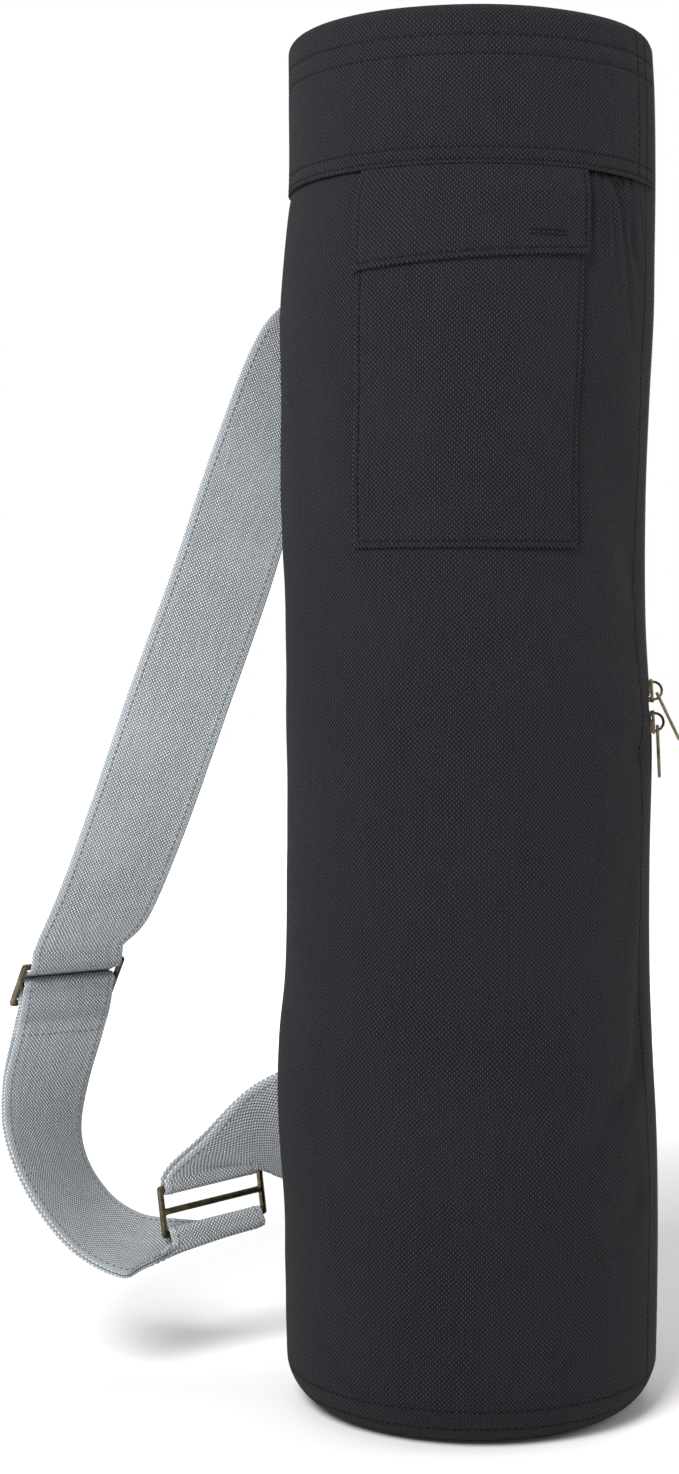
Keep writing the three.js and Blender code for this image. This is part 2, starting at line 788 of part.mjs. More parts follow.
// Station on the tube's outside, for a strap that runs down it along a slope.
function sewnStation(angle, height, slope) {
  const point = tubePoint(angle, height, -(clothGap * 1.5 + strapThickness / 2));
  const width = roundward(angle).multiplyScalar(-Math.cos(slope));
  width.z = -Math.sin(slope);
  return { point, width, hug: bagDepthRatio * Math.cos(slope) ** 2 };
}

// Angle round the tube that a distance along its outside takes.
function turnOf(distance) {
  return THREE.MathUtils.radToDeg(distance / bagHalfWidth);
}

// The outgoing ply weaves through the upper slide, over its outer bars and behind its middle
// one. The returning ply lies on it, and wraps the middle bar with the strap's end.
function buildStrap() {
  const upper = slideFrame("upper", upperSlide);
  const lower = slideFrame("lower", lowerSlide);
  const atUpper = (spots) => spots.map(([along, off]) => slideStation(upper, along, off));
  const top = seamHeight - bandLap - (strapWidth / 2) * Math.sin(strapSlope);
  const sewn = [0, strapLap / 2, strapLap].map((drop) => {
    const angle = strapAnchorAngle + turnOf(drop * Math.tan(strapSlope));
    return sewnStation(angle, top - drop, strapSlope);
  });
  const run = smoothStations([sewn[2], ...strapRun.map(runStation)], runSpacing);
  const through = atUpper([
    [-barSpacing - barThickness * 3, barReach - barThickness],
    [-barSpacing, barReach],
    [-barSpacing / 2, -plyPitch / 2 - plyGap],
    [0, -barReach - plyPitch],
    [barSpacing / 2, -plyPitch / 2 - plyGap],
    [barSpacing, barReach + plyGap / 2],
    [barSpacing + barThickness * 3, barReach + plyPitch],
  ]);
  const underBar = slideStation(lower, -barSpacing - barThickness * 2, -barReach - plyGap * 2);
  const atBar = slideStation(lower, -barSpacing, -barReach);
  const slidePart = smoothStations(through, slideSpacing);
  const loopStart = through[through.length - 1];
  const loopChosen = [loopStart, ...strapLoop.map(runStation), underBar, atBar];
  const loopPart = smoothStations(loopChosen, loopSpacing);
  const out = framed([...sewn.slice(0, 2), ...run, ...slidePart, ...loopPart.slice(1)]);

  const loop = out.slice(out.length - loopPart.length);
  const reach = travelled(loop);
  const loopLength = reach[reach.length - 1];
  const lifts = reach.map((distance) => {
    const overEnd = 1 - smoothShare(distance, strapEndReach * 0.65, strapEndReach * 2.2);
    const overBar = 1 - smoothShare(loopLength - distance, 0, barSpacing * 1.6);
    return plyPitch * (1 + overEnd) + overBar * (2 * barReach - plyPitch);
  });
  const back = plyOver(loop, lifts).reverse();
  const lowerBar = lower.centre.clone().addScaledVector(lower.travel, -barSpacing);
  const lowerTurn = halfTurn(lowerBar, lower.inside.clone().negate(), lower.travel, lower.width);

  const front = atUpper([
    [barSpacing, barReach + 2 * plyPitch],
    [barSpacing / 2, barReach + 0.9 * plyPitch],
    [0, barReach],
  ]);
  const over = halfTurn(upper.centre, upper.inside, upper.travel.clone().negate(), upper.width);
  const behind = atUpper([
    [0, -barReach],
    [barSpacing / 2, plyPitch * 0.35],
    [barSpacing, barReach + plyPitch],
    [barSpacing + barThickness * 3, barReach + 2 * plyPitch],
  ]);
  const last = back[back.length - 1];
  const wrap = [
    ...smoothStations([last, ...front], slideSpacing).slice(1),
    ...over,
    ...smoothStations(behind, slideSpacing),
  ];
  const tip = plyOver(loop, loop.map(() => plyPitch)).filter(
    (_, i) => reach[i] > barThickness && reach[i] < strapEndReach - barThickness * 3,
  );
  const stations = [...out, ...lowerTurn, ...back, ...wrap, ...tip];
  add("shoulder_strap", ribbon(stations.map(plain), strapWidth), greyCanvas);

  buildTab(lower);
  add("strap_slide_upper", slideGeometry(upper), antiqueBrass);
  add("strap_slide_lower", slideGeometry(lower), antiqueBrass);
}

function smoothShare(value, low, high) {
  return THREE.MathUtils.smoothstep(value, low, high);
}

function plain({ point, width, hug }) {
  return { point, width, hug };
}

// Folded tab: one ply from the bag round the lower slide's far bar, and a second one back.
function buildTab(lower) {
  const bar = lower.centre.clone().addScaledVector(lower.travel, barSpacing);
  const start = slideStation(lower, barSpacing, -barReach);
  const overBar = slideStation(lower, barSpacing + barThickness * 1.5, -barReach);
  const sewn = [0, tabLap / 2, tabLap].map((reach) => {
    const angle = tabAnchorAngle - turnOf(reach * Math.sin(tabSlope));
    const height = tabAnchorUp * bagHeight + reach * Math.cos(tabSlope);
    return sewnStation(angle, height, tabSlope);
  });
  const chosen = [start, overBar, ...tabRun.map(runStation), sewn[0]];
  const out = framed([...smoothStations(chosen, loopSpacing), ...sewn.slice(1)]);
  const lifts = travelled(out).map((distance) => {
    const overEnd = 1 - smoothShare(distance, barSpacing * 1.8, barSpacing * 3.6);
    return plyPitch + overEnd * (2 * barReach - plyPitch);
  });
  const back = plyOver(out, lifts).reverse();
  const turn = halfTurn(bar, lower.inside, lower.travel.clone().negate(), lower.width);
  const stations = [...back, ...turn, ...out];
  add("anchor_tab", ribbon(stations.map(plain), strapWidth), greyCanvas);
}

// Three-bar slide: a frame with a middle bar, its edges rounded.
function slideGeometry({ centre, width, travel, inside }) {
  const edge = barThickness * 0.27;
  const halfWide = strapWidth / 2 + slideSidePlay + barThickness;
  const halfTall = barSpacing + barThickness / 2;
  const shape = roundedBox(halfWide, halfTall, barThickness * 0.6, 0);
  for (const side of [-1, 1]) {
    const window = roundedBox(
      halfWide - barThickness,
      (barSpacing - barThickness) / 2,
      barThickness * 0.25,
      (side * barSpacing) / 2,
    );
    shape.holes.push(window);
  }
  const geometry = extrude(shape, barThickness, edge).translate(0, 0, -barThickness / 2);
  const frame = new THREE.Matrix4().makeBasis(width, inside.clone().cross(width), inside);
  return geometry.applyMatrix4(frame.setPosition(centre));
}

function roundedBox(halfWide, halfTall, corner, middle) {
  const low = middle - halfTall;
  const high = middle + halfTall;
  return new THREE.Shape()
    .moveTo(-halfWide + corner, low)
    .lineTo(halfWide - corner, low)
    .quadraticCurveTo(halfWide, low, halfWide, low + corner)
    .lineTo(halfWide, high - corner)
    .quadraticCurveTo(halfWide, high, halfWide - corner, high)
    .lineTo(-halfWide + corner, high)
    .quadraticCurveTo(-halfWide, high, -halfWide, high - corner)
    .lineTo(-halfWide, low + corner)
    .quadraticCurveTo(-halfWide, low, -halfWide + corner, low);
}
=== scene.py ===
# %% [markdown]
# A canvas yoga mat bag
#
# The bag is a tall charcoal canvas tube that stands on its round base. A wide grey canvas
# strap hangs at its left, and a zip with two brass sliders runs down its right side. The solid
# model already holds every piece at its real size, so it is loaded first as a fixed frame, and
# each cloth piece is modelled again around it with its folds, seams and threads.

# %% Load the frame
import math

import bpy
import numpy as np
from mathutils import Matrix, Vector, noise


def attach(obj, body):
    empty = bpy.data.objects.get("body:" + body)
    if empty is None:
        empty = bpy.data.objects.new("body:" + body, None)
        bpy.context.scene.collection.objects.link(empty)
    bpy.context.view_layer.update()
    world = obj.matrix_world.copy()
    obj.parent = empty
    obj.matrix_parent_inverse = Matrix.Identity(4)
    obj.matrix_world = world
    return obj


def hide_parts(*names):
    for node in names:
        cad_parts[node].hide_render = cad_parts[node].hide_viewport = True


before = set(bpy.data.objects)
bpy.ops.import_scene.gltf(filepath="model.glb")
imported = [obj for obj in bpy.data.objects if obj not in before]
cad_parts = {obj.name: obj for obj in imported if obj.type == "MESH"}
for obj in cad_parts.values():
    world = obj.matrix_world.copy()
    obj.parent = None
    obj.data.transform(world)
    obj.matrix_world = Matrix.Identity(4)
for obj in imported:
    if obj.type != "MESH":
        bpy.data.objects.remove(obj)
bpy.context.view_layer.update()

scene = bpy.context.scene

# %% [markdown]
# Camera
#
# The picture was taken with a level camera, a little left of the bag and above its middle. A
# level camera keeps the bag's sides upright. Its frame is slid down with the lens shift
# instead of tilting the camera, as a view camera does.

# %% Camera
PICTURE_HEIGHT = 1474
FOCAL_PIXELS = 2450
HORIZON_ROW = 630
SENSOR_MM = 36
CAMERA_PLACE = (-0.0648, -1.216, 0.380)

camera_data = bpy.data.cameras.new("camera")
camera_data.sensor_width = SENSOR_MM
camera_data.lens = SENSOR_MM * FOCAL_PIXELS / PICTURE_HEIGHT
camera_data.shift_y = (HORIZON_ROW - PICTURE_HEIGHT / 2) / PICTURE_HEIGHT
camera = bpy.data.objects.new("camera", camera_data)
camera.location = CAMERA_PLACE
camera.rotation_euler = (math.radians(90), 0, 0)
scene.collection.objects.link(camera)
scene.camera = camera
print("lens", round(camera_data.lens, 2), "mm, shift", round(camera_data.shift_y, 4))

# %% [markdown]
# Nodes and colours
#
# A material is a small graph of nodes. One function adds a node with its settings and links,
# so that a graph reads as a list. Colours are written as the hex values that a screen shows,
# and another function turns them into the linear light that the renderer works in.

# %% Node and colour helpers
def add_node(tree, kind, inputs=None, **settings):
    """Adds a node with its settings, and a value, socket or node's first output on each input."""
    made = tree.nodes.new(kind)
    for name, value in settings.items():
        setattr(made, name, value)
    for key, value in (inputs or {}).items():
        if isinstance(value, bpy.types.Node):
            value = value.outputs[0]
        if isinstance(value, bpy.types.NodeSocket):
            tree.links.new(value, made.inputs[key])
        else:
            made.inputs[key].default_value = value
    return made


def hex_colour(code):
    """Linear RGBA of a hex colour as a screen shows it."""
    shares = [int(code[i:i + 2], 16) / 255 for i in (1, 3, 5)]
    linear = [c / 12.92 if c <= 0.04045 else ((c + 0.055) / 1.055) ** 2.4 for c in shares]
    return (*linear, 1.0)


def new_material(name):
    """An empty material, its node tree and its surface shader."""
    material = bpy.data.materials.new(name)
    material.use_nodes = True
    tree = material.node_tree
    tree.nodes.clear()
    shader = add_node(tree, "ShaderNodeBsdfPrincipled")
    add_node(tree, "ShaderNodeOutputMaterial", {"Surface": shader.outputs["BSDF"]})
    return material, tree, shader


print("middle grey in linear light:", round(hex_colour("#808080")[0], 3))

# %% [markdown]
# Studio
#
# The floor is one wide sheet of white paper. Near the bag it only takes the soft shadow. Further
# off it also glows, more with each step away, so that it runs into the white background with
# no horizon line. A curved backdrop would do the same, but takes more room.

# %% Floor
FLOOR_REACH = 6.0
GLOW_START = 0.35
GLOW_END = 1.1
GLOW_STRENGTH = 0.7


def make_floor():
    """A wide flat floor that isn't part of the object."""
    corners = [(x * FLOOR_REACH, y * FLOOR_REACH, 0) for x, y in ((-1, -1), (1, -1), (1, 1), (-1, 1))]
    mesh = bpy.data.meshes.new("studio_floor")
    mesh.from_pydata(corners, [], [(0, 1, 2, 3)])
    floor = bpy.data.objects.new("studio_floor", mesh)
    scene.collection.objects.link(floor)
    material, tree, shader = new_material("matt white studio paper")
    shader.inputs["Base Color"].default_value = hex_colour("#f4f4f4")
    shader.inputs["Roughness"].default_value = 0.9
    shader.inputs["Specular IOR Level"].default_value = 0.1
    place = add_node(tree, "ShaderNodeTexCoord")
    away = add_node(tree, "ShaderNodeVectorMath", {0: place.outputs["Object"]}, operation="LENGTH")
    glow = add_node(
        tree, "ShaderNodeMapRange",
        {"Value": away.outputs["Value"], "From Min": GLOW_START, "From Max": GLOW_END,
         "To Max": GLOW_STRENGTH},
        interpolation_type="SMOOTHSTEP")
    shader.inputs["Emission Color"].default_value = hex_colour("#ffffff")
    tree.links.new(glow.outputs[0], shader.inputs["Emission Strength"])
    grain = add_node(
        tree, "ShaderNodeTexNoise",
        {"Vector": place.outputs["Object"], "Scale": 900.0, "Detail": 2.0})
    bump = add_node(tree, "ShaderNodeBump", {"Height": grain, "Strength": 0.04})
    tree.links.new(bump.outputs[0], shader.inputs["Normal"])
    mesh.materials.append(material)


make_floor()
print("floor reaches", FLOOR_REACH, "m each way")

# %% [markdown]
# A big soft light in front on the left gives the tube its round shape. A weak one on the right
# keeps the far side from going black, and one from above fills the lid and the shadow. The
# background is white to the camera, but lights the bag less than it shows, which a sun or a
# picture of a sky could not do as evenly.

# %% Lights and background
def soft_light(name, place, aim, size, watts):
    """A square soft light that faces a point."""
    data = bpy.data.lights.new(name, "AREA")
    data.size = size
    data.energy = watts
    light = bpy.data.objects.new(name, data)
    light.location = place
    light.rotation_euler = (Vector(aim) - Vector(place)).to_track_quat("-Z", "Y").to_euler()
    scene.collection.objects.link(light)


def make_background(seen, felt):
    """White all round for the camera, and a dimmer glow as light."""
    world = bpy.data.worlds.new("studio_white")
    world.use_nodes = True
    tree = world.node_tree
    tree.nodes.clear()
    path = add_node(tree, "ShaderNodeLightPath")
    strength = add_node(
        tree, "ShaderNodeMapRange",
        {"Value": path.outputs["Is Camera Ray"], "To Min": felt, "To Max": seen})
    glow = add_node(tree, "ShaderNodeBackground", {"Strength": strength})
    glow.inputs["Color"].default_value = (1, 1, 1, 1)
    add_node(tree, "ShaderNodeOutputWorld", {"Surface": glow})
    scene.world = world


middle = (-0.03, 0, 0.33)
soft_light("left_softbox", (-0.9, -1.8, 1.9), (-0.1, 0, 0.5), 1.0, 82)
soft_light("right_strip", (1.7, 0.0, 0.9), middle, 0.9, 7)
soft_light("top_softbox", (0.1, 0.6, 2.4), middle, 1.8, 14)
make_background(seen=1.0, felt=0.42)
scene.view_settings.view_transform = "Standard"

# %% [markdown]
# Sizes and outline
#
# The tube is not a plain cylinder: a soft bag leans and bulges. A short table gives its half
# width and its sideways shift at a few heights, and a smooth curve joins them. These are the
# values of the solid model, in metres, so the cloth lies on the same surface.

# %% Sizes of the bag
BAG_HEIGHT = 0.670
BAG_HALF_WIDTH = 0.091
BAG_DEPTH_RATIO = 0.97
BASE_ROLL = 0.024
TOP_ROLL = 0.006
CANVAS_WALL = 0.0016
CLOTH_GAP = 0.0003
BAND_HEIGHT = 0.075
BAND_WALL = 0.0022
DISC_WALL = 0.002
TOP_DISC_DROP = 0.001
SEAM_PINCH = 0.0016
SEAM_PINCH_REACH = 0.007
ZIP_ANGLE = 84.0
SLIT_HALF_WIDTH = 0.007
TAPE_REACH = 0.014
SEAM_HEIGHT = BAG_HEIGHT - BAND_HEIGHT


def table(columns, rows):
    """Rows of values as dictionaries with named columns."""
    return [dict(zip(columns.split(), row)) for row in rows]


# Height as a share of the bag's height, then half width and shift as shares of its half width
OUTLINE = table("up half shift", [
    (0.0, 0.995, 0.0), (0.081, 1.006, 0.002), (0.145, 1.014, -0.003),
    (0.204, 1.023, -0.02), (0.264, 1.013, -0.032), (0.322, 0.986, -0.019),
    (0.397, 0.98, -0.013), (0.485, 0.99, -0.012), (0.574, 0.977, -0.032),
    (0.663, 0.988, -0.043), (0.737, 0.998, -0.032), (0.797, 1.012, -0.023),
    (0.841, 1.004, -0.01), (0.9, 0.993, 0.006), (0.96, 0.991, 0.003),
    (1.0, 0.984, -0.006),
])
print("outline rows:", len(OUTLINE))

# %% [markdown]
# A place on the tube is given by its angle from the front, its height and how far inside the
# outline it lies. The base and the top edges roll inwards on a quarter circle, so near both
# ends the outside also leans, and everything that lies on the cloth leans with it.

# %% Places on the tube
def outline_at(column, height):
    """Smooth value of one column of the outline at heights in metres."""
    ups = np.array([row["up"] for row in OUTLINE])
    values = np.array([row[column] for row in OUTLINE])
    up = np.clip(np.asarray(height, float) / BAG_HEIGHT, 0, 1)
    last = len(ups) - 1
    i = np.clip(np.searchsorted(ups, up, side="left") - 1, 0, last - 1)
    before = np.maximum(i - 1, 0)
    after = np.minimum(i + 2, last)
    span = ups[i + 1] - ups[i]
    t = (up - ups[i]) / span
    slope_from = (values[i + 1] - values[before]) / (ups[i + 1] - ups[before]) * span
    slope_to = (values[after] - values[i]) / (ups[after] - ups[i]) * span
    rise = values[i + 1] - values[i]
    bend = 3 * rise - 2 * slope_from - slope_to
    twist = slope_from + slope_to - 2 * rise
    return BAG_HALF_WIDTH * (values[i] + t * (slope_from + t * (bend + t * twist)))


def outward(angle):
    """Unit directions out of the tube at angles in degrees from the front."""
    turn = np.radians(angle)
    return np.stack([np.sin(turn), -np.cos(turn), np.zeros_like(turn)], axis=-1)


def tube_point(angle, height, inset):
    """Points of the tube at angles and heights, some way inside its outline."""
    angle, height, inset = np.broadcast_arrays(*map(np.float64, (angle, height, inset)))
    out = outward(angle)
    half = outline_at("half", height)
    x = outline_at("shift", height) + out[..., 0] * (half - inset)
    y = out[..., 1] * (half * BAG_DEPTH_RATIO - inset)
    return np.stack([x, y, height], axis=-1)


def roll_at(height):
    """Inset of the tube's outside and its lean from level, where it rolls in at its ends."""
    low = np.clip(1 - np.asarray(height, float) / BASE_ROLL, 0, 1)
    high = np.clip(1 - (BAG_HEIGHT - np.asarray(height, float)) / TOP_ROLL, 0, 1)
    lean = np.arcsin(high) - np.arcsin(low)
    return np.where(low > 0, BASE_ROLL, TOP_ROLL) * (1 - np.cos(lean)), lean


print("half width at mid height:", round(float(outline_at("half", 0.33)), 4), "m")

# %% [markdown]
# Folds and slack
#
# Canvas round a soft roll creases where it is pressed. Each crease is one row of a table: where
# it starts and ends, and how deep and wide it is. The solid model has the main creases too.
# The long shallow hollows and the fine gathers are added here, because they are low relief
# that only shows as soft shade.

# %% Folds of the cloth
FOLD_DEPTH = 0.003
FOLD_WIDTH = 0.007
SOFT_FOLD_GAIN = 1.25
# Depth in metres, length in metres and seed of each slow wave of the slack cloth
BODY_SLACK = [(0.0009, 0.075, 3.1), (0.0003, 0.022, 7.7)]
BAND_SLACK = [(0.0004, 0.06, 5.3)]

# Angles in degrees, heights as shares of the bag's, depths and widths as shares of the above
BODY_FOLDS = table("angle up to_angle to_up deep to_deep wide", [
    (36.5, 0.888, 36, 0.839, 0.55, 0, 0.32), (41, 0.888, 42, 0.81, 0.7, 0, 0.36),
    (45.5, 0.888, 65, 0.81, 0.8, 0.1, 0.5), (50.5, 0.888, 52, 0.83, 0.65, 0, 0.36),
    (56, 0.888, 58, 0.849, 0.5, 0, 0.36), (35, 0.512, 46, 0.492, 0.2, 0.6, 0.8),
    (46, 0.492, 66, 0.479, 0.6, 0.4, 0.8), (62, 0.424, 49.5, 0.334, 0.15, 0.45, 1.2),
    (67, 0.349, 61, 0.252, 0.2, 0.8, 1.1), (61, 0.252, 48, 0.23, 0.8, 0.9, 1.1),
    (48, 0.23, 29.5, 0.183, 0.9, 0.15, 1.2), (58, 0.162, 43, 0.143, 0.6, 0.25, 1),
    (-66, 0.278, -50, 0.224, 0.1, 0.35, 1.6), (150, 0.623, 190, 0.583, 0.2, 0.35, 1.8),
])
# Long shallow hollows that only show as soft shade
SOFT_FOLDS = table("angle up to_angle to_up deep to_deep wide", [
    (-48, 0.56, 34, 0.44, 0.3, 0.75, 3.4), (-20, 0.42, 60, 0.56, 0.35, 0.6, 2.8),
    (-50, 0.36, 20, 0.24, 0.4, 0.55, 3.2), (10, 0.36, 62, 0.47, 0.2, 0.6, 2.6),
    (-62, 0.72, -44, 0.58, 0.5, 0.3, 2.4), (40, 0.72, 66, 0.6, 0.4, 0.7, 2.2),
    (-40, 0.16, 30, 0.1, 0.3, 0.5, 2.6), (120, 0.5, 220, 0.36, 0.3, 0.6, 3.4),
])
# Fine gathers that the band's seam throws, beside the larger ones
GATHERS = table("angle up to_angle to_up deep to_deep wide", [
    (38.5, 0.888, 39.5, 0.83, 0.45, 0, 0.24), (43.5, 0.888, 50, 0.79, 0.5, 0.05, 0.28),
    (48, 0.888, 58, 0.77, 0.5, 0.1, 0.3), (53.5, 0.888, 61, 0.8, 0.5, 0, 0.3),
    (60, 0.888, 66, 0.82, 0.4, 0, 0.3), (-38, 0.888, -40, 0.85, 0.3, 0, 0.4),
])
BAND_FOLDS = table("angle up to_angle to_up deep to_deep wide", [(19, 0.968, 40, 0.915, 0.1, 0.3, 1.1)])
print("folds:", len(BODY_FOLDS), "main,", len(SOFT_FOLDS), "soft,", len(GATHERS), "gathers")

# %% [markdown]
# A fold is pressed in as a groove with low banks, because cloth that is pushed in must come out
# beside it. Where folds meet, only the deepest groove and the highest bank count, so that they
# don't dig a pit together. Between the creases cloth is never quite smooth, so a slow noise
# adds a few tenths of a millimetre. Sculpting could do this too, but a function lets the
# pocket and the stitches follow the same surface.

# %% How a fold is pressed in
def unrolled(turn, rise):
    """Steps along the cloth as if it lay flat: round the tube, then up, in metres."""
    nearest = np.mod(np.asarray(turn, float) + 180, 360) - 180
    return np.radians(nearest) * BAG_HALF_WIDTH, rise


def fold_inset(folds, angle, height):
    """How far the folds press the cloth inwards."""
    pressed = np.zeros(np.broadcast(angle, height).shape)
    banked = np.zeros_like(pressed)
    for fold in folds:
        start = fold["up"] * BAG_HEIGHT
        along = np.array(unrolled(fold["to_angle"] - fold["angle"], fold["to_up"] * BAG_HEIGHT - start))
        round_step, up_step = unrolled(angle - fold["angle"], height - start)
        share = (round_step * along[0] + up_step * along[1]) / (along @ along)
        share = np.clip(share, 0, 1)
        off = np.hypot(round_step - share * along[0], up_step - share * along[1])
        off = off / (fold["wide"] * FOLD_WIDTH)
        deep = FOLD_DEPTH * (fold["deep"] + share * (fold["to_deep"] - fold["deep"]))
        groove = deep * (1 - off * off / 2) * np.exp(-off * off / 2)
        pressed = np.maximum(pressed, groove)
        banked = np.minimum(banked, groove)
    return pressed + banked


def slow_noise(angle, height, size, seed):
    """Noise between -1 and 1 over the tube, with waves about a size in metres."""
    spots = tube_point(angle, height, 0) / size
    spots = spots.reshape(-1, 3) + seed
    values = np.array([noise.noise(Vector(spot)) for spot in spots])
    return values.reshape(np.broadcast(angle, height).shape)


def slack_waves(waves, angle, height):
    """Sum of the slow waves of slack cloth."""
    return sum(deep * slow_noise(angle, height, size, seed) for deep, size, seed in waves)


print("deepest fold:", round(float(fold_inset(BODY_FOLDS, 48.0, 0.221 * BAG_HEIGHT)) * 1000, 2), "mm")

# %% [markdown]
# The depth of the cloth adds all this up: the seam's pinch, the folds and the slack. The slack
# fades out beside the zip and near the seams, where the stitches hold the cloth flat.

# %% Depth of the cloth
def smooth_step(value, low, high):
    """0 below low, 1 above high, and a smooth rise between."""
    t = np.clip((np.asarray(value, float) - low) / (high - low), 0, 1)
    return t * t * (3 - 2 * t)


def from_zip(angle):
    """Distance round the tube from the zip's middle, in metres."""
    return np.abs(unrolled(np.asarray(angle, float) - ZIP_ANGLE, 0)[0])


def body_depth(angle, height):
    """Depth of the body's outside: pinch under the seam, folds, and slack between them."""
    pinch = SEAM_PINCH * smooth_step(from_zip(angle), TAPE_REACH, 2 * TAPE_REACH)
    fade = np.exp(np.minimum(height - SEAM_HEIGHT, 0) / SEAM_PINCH_REACH)
    clear = smooth_step(from_zip(angle), TAPE_REACH, 2.5 * TAPE_REACH)
    clear = clear * smooth_step(height, 0.006, 0.05) * (1 - 0.6 * fade)
    slack = slack_waves(BODY_SLACK, angle, height) + fold_inset(GATHERS, angle, height)
    slack = slack + SOFT_FOLD_GAIN * fold_inset(SOFT_FOLDS, angle, height)
    return pinch * fade + fold_inset(BODY_FOLDS, angle, height) + slack * clear


def band_depth(angle, height):
    """Depth of the band's outside."""
    clear = smooth_step(from_zip(angle), TAPE_REACH, 2 * TAPE_REACH)
    return fold_inset(BAND_FOLDS, angle, height) + slack_waves(BAND_SLACK, angle, height) * clear


print("depth at the front:", round(float(body_depth(0.0, BAG_HEIGHT / 2)) * 1000, 2), "mm")

# %% [markdown]
# Materials
#
# Cotton canvas is a plain weave: warp threads run one way, weft threads the other, and each
# passes over one and under the next. The product of two cosines is high where the warp lies on
# top and low where the weft does, so two cosines give the relief of a weave and also its colour.
# That colour is a painted shade in the gaps and a painted highlight on the tops of the threads.
# Noise that is stretched along the threads makes some of them thicker, as spun cotton is. Every
# cloth piece stores its own flat coordinates in metres, named cloth, so that the threads follow
# the piece as it was cut.

# %% Weave
THREAD_DRIFT = 0.72


def weave(tree, pitch):
    """Height of a plain weave, which thread is on top, and the flat coordinates in threads."""
    cloth = add_node(tree, "ShaderNodeAttribute", attribute_name="cloth")
    threads = add_node(
        tree, "ShaderNodeVectorMath",
        {0: cloth.outputs["Vector"], 1: (1 / pitch, 1 / pitch, 1 / pitch)}, operation="MULTIPLY")
    drift = add_node(tree, "ShaderNodeTexNoise", {"Vector": threads, "Scale": 0.35, "Detail": 2.0})
    shift = add_node(
        tree, "ShaderNodeVectorMath",
        {0: drift.outputs["Color"], 1: (THREAD_DRIFT, THREAD_DRIFT, 0)}, operation="MULTIPLY")
    moved = add_node(tree, "ShaderNodeVectorMath", {0: threads, 1: shift}, operation="ADD")
    turned = add_node(
        tree, "ShaderNodeVectorMath",
        {0: moved, 1: (math.pi, math.pi, 0)}, operation="MULTIPLY")
    wave = add_node(tree, "ShaderNodeVectorMath", {0: turned}, operation="COSINE")
    round_part = add_node(tree, "ShaderNodeVectorMath", {0: wave}, operation="ABSOLUTE")
    signed = add_node(tree, "ShaderNodeSeparateXYZ", {0: wave})
    rounded = add_node(tree, "ShaderNodeSeparateXYZ", {0: round_part})
    crossing = add_node(tree, "ShaderNodeMath", {0: signed, 1: signed.outputs[1]}, operation="MULTIPLY")
    warp_up = add_node(tree, "ShaderNodeMapRange", {"Value": crossing, "From Min": -1.0})
    weft_up = add_node(tree, "ShaderNodeMath", {0: 1.0, 1: warp_up}, operation="SUBTRACT")
    warp = add_node(tree, "ShaderNodeMath", {0: rounded, 1: warp_up}, operation="MULTIPLY")
    weft = add_node(tree, "ShaderNodeMath", {0: rounded.outputs[1], 1: weft_up}, operation="MULTIPLY")
    height = add_node(tree, "ShaderNodeMath", {0: warp, 1: weft}, operation="MAXIMUM")
    on_top = add_node(tree, "ShaderNodeMath", {0: warp, 1: weft}, operation="GREATER_THAN")
    return height.outputs[0], on_top.outputs[0], moved.outputs[0]


def slubs(tree, threads, stretch, scale):
    """Noise between 0 and 1 in streaks along one of the two thread directions."""
    squeezed = add_node(tree, "ShaderNodeVectorMath", {0: threads, 1: stretch}, operation="MULTIPLY")
    streaks = add_node(
        tree, "ShaderNodeTexNoise",
        {"Vector": squeezed, "Scale": scale, "Detail": 3.0, "Roughness": 0.6})
    return streaks.outputs[0]


print("threads wander by up to", THREAD_DRIFT, "of their spacing")
